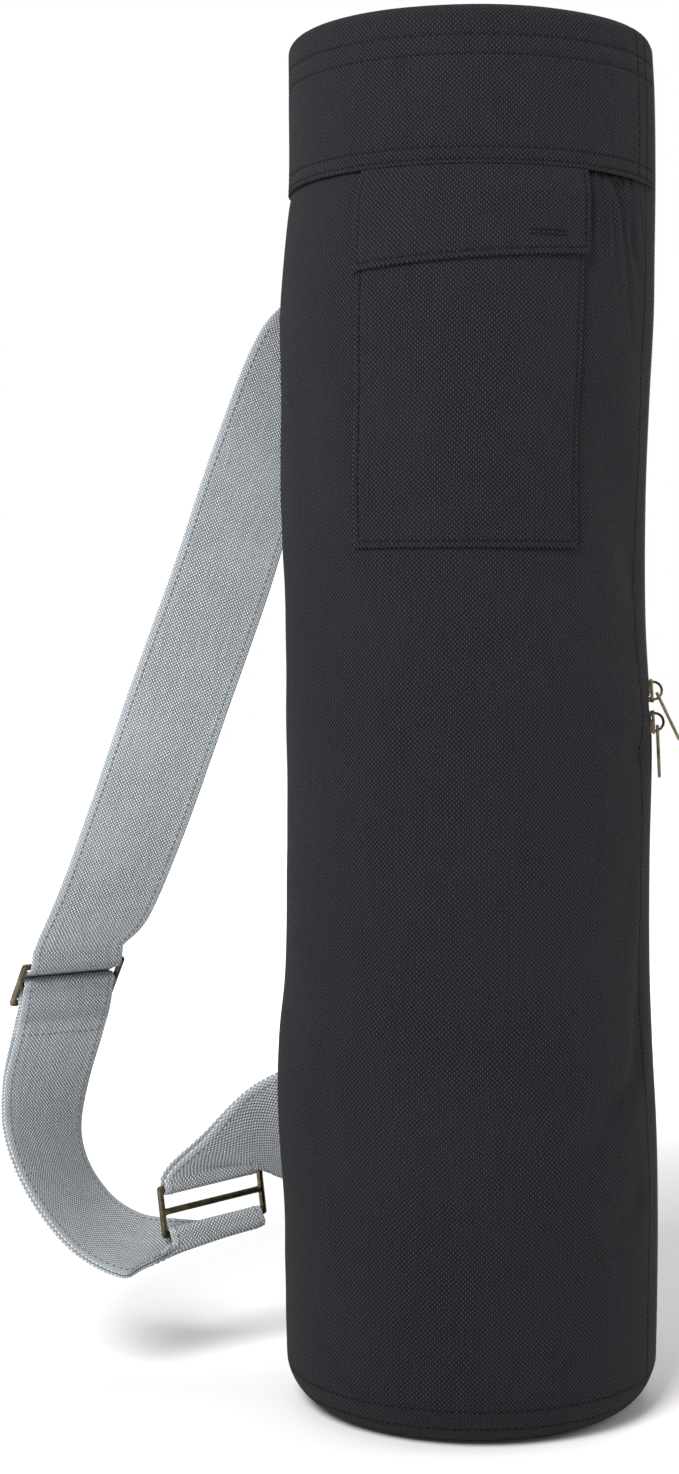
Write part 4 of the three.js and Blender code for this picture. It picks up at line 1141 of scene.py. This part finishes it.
flap_low = POCKET_TOP - FLAP_LENGTH
flap_angles, flap_heights, flap_sides = patch_grid(FLAP_TURN, flap_low, POCKET_TOP, 0.0018)
flap_grid = (flap_angles[None, :], flap_heights[:, None])
patch_piece(
    "flap_canvas", flap_angles, flap_heights,
    flap_point(*flap_grid, CANVAS_WALL), flap_point(*flap_grid, 0.0),
    "pocket_flap")

# %% [markdown]
# Seams of the bag
#
# The rows of stitches lie in the grooves that the cloth already has. They follow the same
# functions as the cloth, so they stay on its face over every fold, which rows projected onto
# the mesh afterwards would do less exactly.

# %% Stitch rows on the bag
round_angles = np.arange(SLIT_START + 2, SLIT_END - 2)
band_paths = [path_on_tube(round_angles, height, band_face) for height in BAND_STITCH_HEIGHTS]
band_up = np.linspace(SEAM_HEIGHT + 0.002, BAG_HEIGHT - 0.001, 60)
band_paths += [path_on_tube(angle, band_up, band_face) for angle in BAND_ZIP_ROWS]
sew("band_stitches", band_paths, charcoal_thread)

body_up = np.linspace(0.003, SEAM_HEIGHT - 0.002, 400)
body_paths = [path_on_tube(angle, body_up, body_face) for angle in ZIP_ROWS]
body_paths += [path_on_tube(round_angles, height, body_face) for height in BASE_STITCH_HEIGHTS]
sew("body_stitches", body_paths, charcoal_thread)


def three_sides(low, high, left, right, point):
    """Path down the left side, along the lower edge and up the right side of a patch."""
    down = np.linspace(high, low, 60)
    over = np.linspace(left, right, 60)
    sides = [(left, h) for h in down] + [(a, low) for a in over[1:]]
    sides += [(right, h) for h in down[::-1][1:]]
    angles, heights = np.array(sides).T
    return point(angles, heights), outward(angles)


pocket_path = three_sides(
    pocket_low + HEM_STITCH, POCKET_TOP - FLAP_LENGTH, *pocket_sides,
    lambda angle, height: tube_point(angle, height, pocket_face(angle, height)))
flap_path = three_sides(
    flap_low + HEM_STITCH, POCKET_TOP - 0.002, *flap_sides,
    lambda angle, height: flap_point(angle, height, CANVAS_WALL))
sew("pocket_stitches", [pocket_path, flap_path], charcoal_thread, 0.003)

# %% [markdown]
# A short mark of thread on the flap is read as a buttonhole. It is two close rows of small
# stitches. The slit between them is closed, so it isn't cut.

# %% Buttonhole
BUTTONHOLE_HEIGHT = 0.5634
BUTTONHOLE_HALF_WIDTH = 0.0011
hole_angles = np.linspace(14.6, 25.7, 24)
hole_paths = []
for off in (-BUTTONHOLE_HALF_WIDTH, BUTTONHOLE_HALF_WIDTH):
    hole_height = BUTTONHOLE_HEIGHT + off - flap_drop(hole_angles, BUTTONHOLE_HEIGHT)
    hole_paths.append((flap_point(hole_angles, hole_height, CANVAS_WALL), outward(hole_angles)))
sew("buttonhole_stitches", hole_paths, charcoal_thread, 0.0011)

# %% [markdown]
# Zip
#
# A zip has two tapes, each sewn under one edge of the slit. They start beside the coil and end
# under the canvas, and they follow the tube from the base's roll up to the lid's.

# %% Zip tapes
TAPE_DEPTH = BAND_WALL + CLOTH_GAP
TAPE_WALL = 0.0008
COIL_BASE = TAPE_DEPTH - CLOTH_GAP
TAPE_START = 0.0017


def zip_turn(distance):
    """Angle of a place beside the zip, from its distance round the tube."""
    return ZIP_ANGLE + math.degrees(distance / BAG_HALF_WIDTH)


zip_rows = joined_rows(
    roll_rows(-1, np.arange(70, 0, -7)),
    level_rows(spaced(BASE_ROLL, BAG_HEIGHT - TOP_ROLL, 0.006)),
    roll_rows(1, np.arange(14, 71, 14)))


def tape_piece(name, start, end, node):
    """One side's tape, from beside the coil to under the canvas."""
    angles = np.array([zip_turn(d) for d in np.linspace(start, end, 14)])
    depth = np.full((len(zip_rows[0]), len(angles)), TAPE_DEPTH)
    points, faces = shell_mesh(
        row_points(zip_rows, angles, depth), row_points(zip_rows, angles, depth + TAPE_WALL))
    cloth = grid_cloth(len(zip_rows[0]), len(angles), cloth_coordinates(angles, zip_rows))
    piece = make_piece(name, points, faces, zip_tape_cloth, cloth)
    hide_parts(node)


tape_piece("tape_front", -TAPE_REACH, -TAPE_START, "zip_tape_front")
tape_piece("tape_back", TAPE_START, TAPE_REACH, "zip_tape_back")

# %% [markdown]
# The coil is a nylon wire wound into a spiral along each tape. Closed, the two spirals show as
# small ridges that meet in a zigzag. Each ridge is a short bent bar here. A spiral curve with a
# bevel would look the same from afar, but its two halves would cut through each other.

# %% Ridge of the coil
COIL_LOW = 0.0016
COIL_HIGH = 0.6695
SLIDER_HEIGHT = 0.3423
COIL_CLEARANCE = 0.0051
COIL_PITCH = 0.0013
WIRE_RADIUS = 0.00052
WIRE_SIDES = 6
# One side's ridge: distance from the zip's middle and height above the tape
RIDGE = [(-0.0029, 0.0003), (-0.0028, 0.0014), (-0.0021, 0.0022), (-0.001, 0.0023), (0.0004, 0.0019)]


def zip_frame(height):
    """Point on the outline, way across, way up and way out along the zip's middle."""
    point = tube_point(ZIP_ANGLE, height, roll_at(height)[0])
    turn = math.radians(ZIP_ANGLE)
    across = np.broadcast_to([math.cos(turn), math.sin(turn), 0], point.shape)
    up = np.gradient(point, axis=0)
    up = up / np.linalg.norm(up, axis=1, keepdims=True)
    return point, across, up, np.cross(across, up)


print("the zip stands", round(float(zip_frame(np.array([0.3, 0.4]))[0][0, 0]), 4), "m to the right")

# %% [markdown]
# The ridges of one closed stretch are laid at even steps along the zip, left and right in turn,
# as one mesh. The steps are measured along the curve, so the ridges stay even where the tube
# rolls in at both ends.

# %% Zip coil
def coil_piece(name, low, high, node):
    """Interlocked ridges of one closed stretch, joined into one mesh."""
    fine = np.linspace(low, high, 2000)
    steps = np.linalg.norm(np.diff(zip_frame(fine)[0], axis=0), axis=1)
    travel = np.concatenate([[0], np.cumsum(steps)])
    count = int(travel[-1] / COIL_PITCH)
    heights = np.interp((np.arange(count) + 0.5) * travel[-1] / count, travel, fine)
    point, across, up, out = zip_frame(heights)
    ring = np.arange(WIRE_SIDES) / WIRE_SIDES * 2 * math.pi
    points, faces = [], []
    for i in range(count):
        for side in (-1, 1):
            start = len(points) * len(RIDGE) * WIRE_SIDES
            loops = []
            for share, (off, rise) in enumerate(RIDGE):
                slant = (share / (len(RIDGE) - 1) - 0.5) * COIL_PITCH * 0.5
                middle = point[i] + across[i] * (side * off) + up[i] * (side * COIL_PITCH / 4 + slant)
                middle = middle + out[i] * (rise - COIL_BASE)
                before = RIDGE[max(share - 1, 0)]
                after = RIDGE[min(share + 1, len(RIDGE) - 1)]
                way = across[i] * side * (after[0] - before[0]) + out[i] * (after[1] - before[1])
                way = way / np.linalg.norm(way)
                flat = np.cross(way, up[i])
                loops.append(
                    middle + WIRE_RADIUS * (
                        np.cos(ring)[:, None] * up[i] * 1.1 + np.sin(ring)[:, None] * flat))
            points.append(np.concatenate(loops))
            last = start + (len(RIDGE) - 1) * WIRE_SIDES
            ends = [tuple(range(start, start + WIRE_SIDES)), tuple(range(last, last + WIRE_SIDES))[::-1]]
            faces += [face[::side] for face in ring_faces(len(RIDGE), WIRE_SIDES, start) + ends]
    piece = make_piece(name, np.concatenate(points), faces, nylon_coil)
    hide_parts(node)
    print(name, "-", count, "turns")


coil_piece("coil_upper", SLIDER_HEIGHT + COIL_CLEARANCE, COIL_HIGH, "zip_coil_upper")
coil_piece("coil_lower", COIL_LOW, SLIDER_HEIGHT - COIL_CLEARANCE, "zip_coil_lower")

# %% [markdown]
# Strap
#
# The strap is one long strip. It is sewn to the bag's back under the band, passes through the
# upper slide, hangs in a loop, turns round the bar of the lower slide and comes back up as a
# second ply. Its end wraps the upper slide's middle bar and is stitched down, which is what
# makes the length adjustable. A few chosen places and width directions give its way. A cloth
# simulation could hang it too, but would not end in the same place as the solids.

# %% Places of the strap
STRAP_WIDTH = 0.052
STRAP_THICKNESS = 0.0015
PLY_GAP = 0.0005
BAR_THICKNESS = 0.003
BAR_SPACING = 0.012
STRAP_ANCHOR_ANGLE = 213
STRAP_SLOPE = 0.36
STRAP_END_REACH = 0.017
END_ROW_REACH = 0.006
TAB_LAP = 0.026
PLY_PITCH = STRAP_THICKNESS + PLY_GAP
BAR_REACH = BAR_THICKNESS / 2 + PLY_GAP + STRAP_THICKNESS / 2

# Across and back as shares of the bag's half width, up as a share of its height
STRAP_RUN = table("across back up width", [
    (-0.91, 0.75, 0.789, (0.84, 0.4, -0.36)),
    (-1.165, 0.66, 0.7, (0.88, 0.3, -0.36)),
    (-1.385, 0.593, 0.606, (0.91, 0.22, -0.35)),
    (-1.626, 0.55, 0.513, (0.93, 0.17, -0.335)),
    (-1.857, 0.505, 0.421, (0.91, 0.28, -0.31)),
    (-2.055, 0.462, 0.352, (0.87, 0.42, -0.22)),
])
STRAP_LOOP = table("across back up width", [
    (-2.36, 0.396, 0.227, (0.76, 0.65, -0.06)),
    (-2.385, 0.385, 0.189, (0.65, 0.75, -0.1)),
    (-2.335, 0.374, 0.161, (0.55, 0.82, 0.0)),
    (-2.225, 0.374, 0.134, (0.42, 0.87, 0.15)),
    (-2.07, 0.374, 0.111, (0.3, 0.9, 0.28)),
    (-1.865, 0.374, 0.097, (0.235, 0.914, 0.33)),
    (-1.64, 0.414, 0.096, (0.6, 0.75, 0.25)),
])
UPPER_SLIDE = dict(
    across=-2.242, back=0.418, up=0.299, width=(0.82, 0.57, 0), travel=(-0.324, 0.465, -0.824))
LOWER_SLIDE = dict(
    across=-1.431, back=0.495, up=0.129, width=(0.886, 0.45, 0.12), travel=(-0.107, -0.054, 0.993))
TAB_RUN = table("across back up width", [
    (-1.258, 0.546, 0.159, (0.77, 0.42, -0.48)),
    (-1.091, 0.621, 0.18, (0.45, 0.25, -0.86)),
])
TAB_ANCHOR_ANGLE = 233
TAB_ANCHOR_UP = 0.199
TAB_SLOPE = 1.3
print("chosen places:", len(STRAP_RUN), "on the run,", len(STRAP_LOOP), "on the loop")

# %% [markdown]
# Each place becomes a station: a point, and the way across the strap there. A slide has its own
# small frame, so the places where the strap weaves round its bars are given along and off it.

# %% Stations
def unit(vector):
    """A vector at length one."""
    vector = np.asarray(vector, float)
    return vector / np.linalg.norm(vector)


def place_of(row):
    """Place in space of a row of shares."""
    return np.array([
        row["across"] * BAG_HALF_WIDTH, row["back"] * BAG_HALF_WIDTH, row["up"] * BAG_HEIGHT])


def slide_frame(row):
    """Centre, way along the bars, way of the strap and way to the strap's inside."""
    width = unit(row["width"])
    travel = np.array(row["travel"], float)
    travel = unit(travel - width * (travel @ width))
    return dict(centre=place_of(row), width=width, travel=travel, inside=np.cross(travel, width))


def slide_station(slide, along, off):
    """Place and width direction of the strap in a slide's frame."""
    return slide["centre"] + slide["travel"] * along + slide["inside"] * off, slide["width"]


def run_station(row):
    """Place and width direction of a row of the strap's way."""
    return place_of(row), unit(row["width"])


def sewn_station(angle, height, slope):
    """Place and width direction on the tube's outside, for a strap that lies on it."""
    off = CLOTH_GAP * 1.5 + STRAP_THICKNESS / 2
    turn = math.radians(angle)
    width = np.array([-math.cos(turn), -math.sin(turn), 0]) * math.cos(slope)
    width[2] = -math.sin(slope)
    return tube_point(angle, height, -off), width


upper_slide = slide_frame(UPPER_SLIDE)
lower_slide = slide_frame(LOWER_SLIDE)
print("slides at", upper_slide["centre"].round(3), lower_slide["centre"].round(3))

# %% [markdown]
# A smooth curve runs through the stations. Where they are close together it turns more tightly,
# so it doesn't swing out beside the bars, as an evenly timed curve would.

# %% Smooth ways
def curve_point(points, t):
    """Point of a smooth curve through points, closer set ones turning it more tightly."""
    i = min(int(t), len(points) - 2)
    share = t - i
    start, end = points[i], points[i + 1]
    before = points[i - 1] if i > 0 else 2 * start - end
    after = points[i + 2] if i + 2 < len(points) else 2 * end - start
    gaps = [np.linalg.norm(b - a) ** 0.5 for a, b in ((before, start), (start, end), (end, after))]
    middle = gaps[1] if gaps[1] > 1e-4 else 1.0
    first, last = (gap if gap > 1e-4 else middle for gap in (gaps[0], gaps[2]))
    leave = (start - before) / first - (end - before) / (first + middle) + (end - start) / middle
    arrive = (end - start) / middle - (after - start) / (middle + last) + (after - end) / last
    leave, arrive = leave * middle, arrive * middle
    bend = 3 * (end - start) - 2 * leave - arrive
    twist = 2 * (start - end) + leave + arrive
    return start + share * (leave + share * (bend + share * twist))


def smooth_way(stations, spacing):
    """Places and width directions through chosen stations, no further apart than a spacing."""
    places = [place for place, _ in stations]
    widths = [width for _, width in stations]
    way = []
    for i in range(len(stations) - 1):
        steps = max(math.ceil(np.linalg.norm(places[i + 1] - places[i]) / spacing), 1)
        for k in range(steps):
            t = i + k / steps
            way.append((curve_point(places, t), unit(curve_point(widths, t))))
    way.append(stations[-1])
    return way


loop_stations = [run_station(row) for row in STRAP_LOOP]
print("stations of the loop:", len(smooth_way(loop_stations, 0.004)))

# %% [markdown]
# From a way come the direction of the strap's inside, the distance travelled, and the half turns
# that it makes round a bar.

# %% Measures of a way
def insides(way):
    """Way to the strap's inside at each station, from its travel and its width."""
    places = np.array([place for place, _ in way])
    widths = np.array([width for _, width in way])
    travel = np.gradient(places, axis=0)
    inside = np.cross(travel, widths)
    return inside / np.linalg.norm(inside, axis=1, keepdims=True)


def travelled(way):
    """Distance along the way to each station."""
    places = np.array([place for place, _ in way])
    return np.concatenate([[0], np.cumsum(np.linalg.norm(np.diff(places, axis=0), axis=1))])


def half_turn(bar, start, top, width, steps):
    """Stations half way round a bar, from one side of it to the other, ends left out."""
    turns = np.arange(1, steps) / steps * math.pi
    return [
        (bar + BAR_REACH * (start * math.cos(turn) + top * math.sin(turn)), width)
        for turn in turns]


print("the loop's chosen places span", round(travelled(loop_stations)[-1], 3), "m")

# %% [markdown]
# The outgoing ply weaves through the upper slide: over its top bar, behind the middle one and
# over the bottom one. The returning ply is the same way set off by one strap's thickness, and
# by two where the sewn end lies between them.

# %% Way of the whole strap
def strap_way():
    """Stations of the whole strap, and which of them on the second ply has the end's stitches."""
    top = SEAM_HEIGHT - CLOTH_GAP - STRAP_WIDTH / 2 * math.sin(STRAP_SLOPE) - 0.001
    sewn = []
    for drop in (0, 0.014, 0.028):
        turn = math.degrees(drop / BAG_HALF_WIDTH * math.tan(STRAP_SLOPE))
        sewn.append(sewn_station(STRAP_ANCHOR_ANGLE + turn, top - drop, STRAP_SLOPE))
    through = [
        (-BAR_SPACING - 0.009, BAR_REACH - 0.0032), (-BAR_SPACING, BAR_REACH),
        (-BAR_SPACING / 2, -PLY_PITCH / 2 - PLY_GAP), (0, -BAR_REACH - PLY_PITCH),
        (BAR_SPACING / 2, -PLY_PITCH / 2 - PLY_GAP), (BAR_SPACING, BAR_REACH + PLY_GAP / 2),
        (BAR_SPACING + 0.009, BAR_REACH + PLY_PITCH)]
    slide_part = [slide_station(upper_slide, *spot) for spot in through]
    at_bar = slide_station(lower_slide, -BAR_SPACING, -BAR_REACH)
    under_bar = slide_station(lower_slide, -BAR_SPACING - 0.006, -BAR_REACH - 0.001)
    down = smooth_way(sewn + [run_station(row) for row in STRAP_RUN] + slide_part[:1], 0.005)
    woven_part = smooth_way(slide_part, 0.0012)
    loop = smooth_way(slide_part[-1:] + loop_stations + [under_bar, at_bar], 0.004)
    main = down[:-1] + woven_part[:-1] + loop

    start = len(main) - len(loop)
    inside = insides(main)[start:]
    run = travelled(loop)
    near_slide = 1 - smooth_step(run, STRAP_END_REACH - 0.006, STRAP_END_REACH + 0.02)
    near_bar = 1 - smooth_step(run[-1] - run, 0, 0.02)
    lift = PLY_PITCH * (1 + near_slide) + near_bar * (2 * BAR_REACH - PLY_PITCH)
    back = [(place + inside[i] * lift[i], width) for i, (place, width) in enumerate(loop)][::-1]
    bar = lower_slide["centre"] - lower_slide["travel"] * BAR_SPACING
    turn = half_turn(bar, -lower_slide["inside"], lower_slide["travel"], lower_slide["width"], 12)
    front = [
        (BAR_SPACING, BAR_REACH + 2 * PLY_PITCH),
        (BAR_SPACING / 2, BAR_REACH + 0.9 * PLY_PITCH), (0.002, BAR_REACH), (0, BAR_REACH)]
    front_part = [slide_station(upper_slide, *spot) for spot in front]
    front_way = smooth_way([back[-1]] + front_part, 0.0015)
    over = half_turn(
        upper_slide["centre"], upper_slide["inside"], -upper_slide["travel"],
        upper_slide["width"], 10)
    behind = [
        (0, -BAR_REACH), (0.0015, -BAR_REACH), (BAR_SPACING / 2, 0.35 * PLY_PITCH),
        (BAR_SPACING, BAR_REACH + PLY_PITCH), (BAR_SPACING + 0.009, BAR_REACH + 2 * PLY_PITCH)]
    tip = smooth_way([slide_station(upper_slide, *spot) for spot in behind], 0.0015)
    end = [(place + inside[i] * PLY_PITCH, width) for i, (place, width) in enumerate(loop)
           if 0.001 < run[i] < STRAP_END_REACH - 0.009]
    end_row = len(main) + len(turn) + len(loop) - 1 - int(np.searchsorted(run, END_ROW_REACH))
    return main + turn + back[:-1] + front_way[:-1] + over + tip + end, end_row


strap_stations, end_row = strap_way()
print("strap length:", round(travelled(strap_stations)[-1], 3), "m")

# %% [markdown]
# A strip of canvas has folded edges, so its section is a flat bar with round sides. The
# section is carried along the stations. Where the strap lies on the tube it curves to fit, and
# its edges ripple a little. A curve with a bevel profile would twist where the way is steep.

# %% Ribbon
SECTION_COLUMNS = 15
EDGE_REACH = 0.004
EDGE_RIPPLE = 0.00012
RIPPLE_LENGTH = 1 / 60
EDGE_WEAR = 0.35


def strap_section():
    """Outline of the strap's section: share of the width and share of the half thickness."""
    shares = np.linspace(-0.5, 0.5, SECTION_COLUMNS)
    round_share = STRAP_THICKNESS / 2 / STRAP_WIDTH
    flat = [(share * (1 - 2 * round_share), 1.0) for share in shares]
    right = [(0.5 - round_share * 0.3, 0.7), (0.5, 0.0), (0.5 - round_share * 0.3, -0.7)]
    under = [(share, -1.0) for share, _ in flat[::-1]]
    left = [(-share, -level) for share, level in right]
    return np.array(flat + right + under + left)


def ribbon(name, way, hug, node):
    """The strap's section carried along its way, closed at both ends."""
    places = np.array([place for place, _ in way])
    widths = np.array([width for _, width in way])
    inside = insides(way)
    run = travelled(way)
    section = strap_section()
    across = section[:, 0] * STRAP_WIDTH
    edge = np.exp(-((0.5 - np.abs(section[:, 0])) * STRAP_WIDTH / EDGE_REACH) ** 2)
    waves = [noise.noise(Vector((place / RIPPLE_LENGTH, 0, 0))) for place in run]
    ripple = EDGE_RIPPLE * np.array(waves)
    points, cloth = [], []
    for i, place in enumerate(places):
        sag = hug[i] * across ** 2 / 2 / BAG_HALF_WIDTH
        off = section[:, 1] * STRAP_THICKNESS / 2 + sag + ripple[i] * edge
        points.append(place + across[:, None] * widths[i] + off[:, None] * inside[i])
        cloth.append(np.stack([across, np.full_like(across, run[i]), section[:, 1] * 0.0005], axis=-1))
    size = len(section)
    faces = ring_faces(len(way), size)
    far = 2 * SECTION_COLUMNS + 2
    caps = [(k, k + 1, far - k - 1, far - k) for k in range(SECTION_COLUMNS - 1)]
    caps += [tuple(range(SECTION_COLUMNS - 1, SECTION_COLUMNS + 4)), (*range(far, size), 0)]
    for start, turn in ((0, 1), ((len(way) - 1) * size, -1)):
        faces += [tuple(start + k for k in cap)[::turn] for cap in caps]
    wear = np.tile(edge * EDGE_WEAR, len(way))
    piece = make_piece(
        name, np.concatenate(points), faces, grey_canvas,
        np.concatenate(cloth), wear)
    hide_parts(node)
    print(name, "-", len(faces), "faces")
    return piece, places, widths, inside, run


print("the strap's section has", len(strap_section()), "points")

# %% [markdown]
# The strap lies against the bag for its first 3 cm and leaves it over the next 5. Its flat
# length is what the way measures, because cloth doesn't stretch along its threads.

# %% Strap piece
def bag_share(slope, from_end, lap, leave):
    """How much of the tube's curve each station follows: all on the bag, none in the air."""
    return BAG_DEPTH_RATIO * math.cos(slope) ** 2 * (1 - smooth_step(from_end, lap, lap + leave))


strap_hug = bag_share(STRAP_SLOPE, travelled(strap_stations), 0.028, 0.047)
strap_cloth, *strap_line = ribbon("strap_canvas", strap_stations, strap_hug, "shoulder_strap")
strap_end = strap_line[3][-1]

# %% [markdown]
# The tab ties the lower slide to the bag. It is one strip folded round the slide's top bar,
# with both ends sewn down together, and it twists by a quarter turn on its short way, as the
# slide hangs across the bag and the sewn end runs along it.

# %% Tab piece
def tab_way():
    """Stations of the tab: up one ply, round the lower slide's top bar and back."""
    bar = lower_slide["centre"] + lower_slide["travel"] * BAR_SPACING
    start = slide_station(lower_slide, BAR_SPACING, -BAR_REACH)
    over_bar = slide_station(lower_slide, BAR_SPACING + 0.0045, -BAR_REACH)
    sewn = []
    for reach in (0, TAB_LAP / 2, TAB_LAP):
        turn = math.degrees(reach / BAG_HALF_WIDTH * math.sin(TAB_SLOPE))
        height = TAB_ANCHOR_UP * BAG_HEIGHT + reach * math.cos(TAB_SLOPE)
        sewn.append(sewn_station(TAB_ANCHOR_ANGLE - turn, height, TAB_SLOPE))
    out = smooth_way([start, over_bar] + [run_station(row) for row in TAB_RUN] + sewn, 0.0025)
    inside = insides(out)
    run = travelled(out)
    near_bar = 1 - smooth_step(run, BAR_SPACING * 1.8, BAR_SPACING * 3.6)
    lift = PLY_PITCH + near_bar * (2 * BAR_REACH - PLY_PITCH)
    back = [(place + inside[i] * lift[i], width) for i, (place, width) in enumerate(out)]
    turn = half_turn(bar, lower_slide["inside"], -lower_slide["travel"], lower_slide["width"], 10)
    return back[::-1] + turn + out


tab_stations = tab_way()
tab_run = travelled(tab_stations)
tab_hug = bag_share(TAB_SLOPE, np.minimum(tab_run, tab_run[-1] - tab_run), TAB_LAP, 0.02)
tab_cloth, *tab_line = ribbon("tab_canvas", tab_stations, tab_hug, "anchor_tab")
tab_end = tab_line[3][-1]
print("tab length:", round(float(tab_end), 3), "m")

# %% [markdown]
# A row of stitches runs along each edge of the strap and the tab, on both faces. Rows across
# them hold the ends that are sewn to the bag. One more crosses the second ply where the
# strap's tip is caught under it.

# %% Stitches of the strap
EDGE_STITCH_INSET = 0.0035
CROSS_SHARE = 0.45


def ribbon_path(line, share, face, low, high):
    """Path along one face of a strap, between two distances along it."""
    places, widths, inside, run = line
    keep = (run >= low) & (run <= high)
    points = places + widths * share * STRAP_WIDTH + inside * face * STRAP_THICKNESS / 2
    return points[keep], (inside * face)[keep]


def cross_path(line, run_at, face):
    """Path straight across one face of a strap at a distance along it."""
    places, widths, inside, run = line
    i = int(np.searchsorted(run, run_at))
    shares = np.linspace(-CROSS_SHARE, CROSS_SHARE, 30)[:, None]
    points = places[i] + widths[i] * shares * STRAP_WIDTH + inside[i] * face * STRAP_THICKNESS / 2
    return points, np.repeat(inside[i:i + 1] * face, 30, axis=0)


edge_share = 0.5 - EDGE_STITCH_INSET / STRAP_WIDTH
edge_rows = [
    (strap_line, 0.03, strap_end - 0.002), (tab_line, TAB_LAP + 0.004, tab_end - TAB_LAP - 0.004)]
strap_paths = [
    ribbon_path(line, side * edge_share, face, low, high)
    for line, low, high in edge_rows for side in (-1, 1) for face in (-1, 1)]
strap_paths += [cross_path(strap_line, place, -1) for place in (0.006, 0.024, strap_line[3][end_row])]
strap_paths += [
    cross_path(tab_line, place, 1) for place in (tab_end - TAB_LAP + 0.003, tab_end - 0.004)]
sew("strap_stitches", strap_paths, grey_thread, 0.0034)

# %% [markdown]
# Brass parts
#
# The slides, the zip's sliders and their pulls are made of brass. The solid model has their
# real shapes, so they stay and only take the metal finish. A bevel softens their edges, as
# tumbling does, and gives each edge a thin highlight.

# %% Brass finish on the carried pieces
BRASS_NODES = [
    "strap_slide_upper", "strap_slide_lower", "zip_slider_upper", "zip_slider_lower",
    "zip_pull_upper", "zip_pull_lower"]
for name in BRASS_NODES:
    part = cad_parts[name]
    for slot in part.material_slots:
        slot.material = antique_brass
    if not part.material_slots:
        part.data.materials.append(antique_brass)
    rounding = part.modifiers.new("tumbled edges", "BEVEL")
    rounding.width = 0.00015
    rounding.segments = 2
    rounding.limit_method = "ANGLE"
    rounding.angle_limit = math.radians(25)
print("brass pieces:", len(BRASS_NODES))
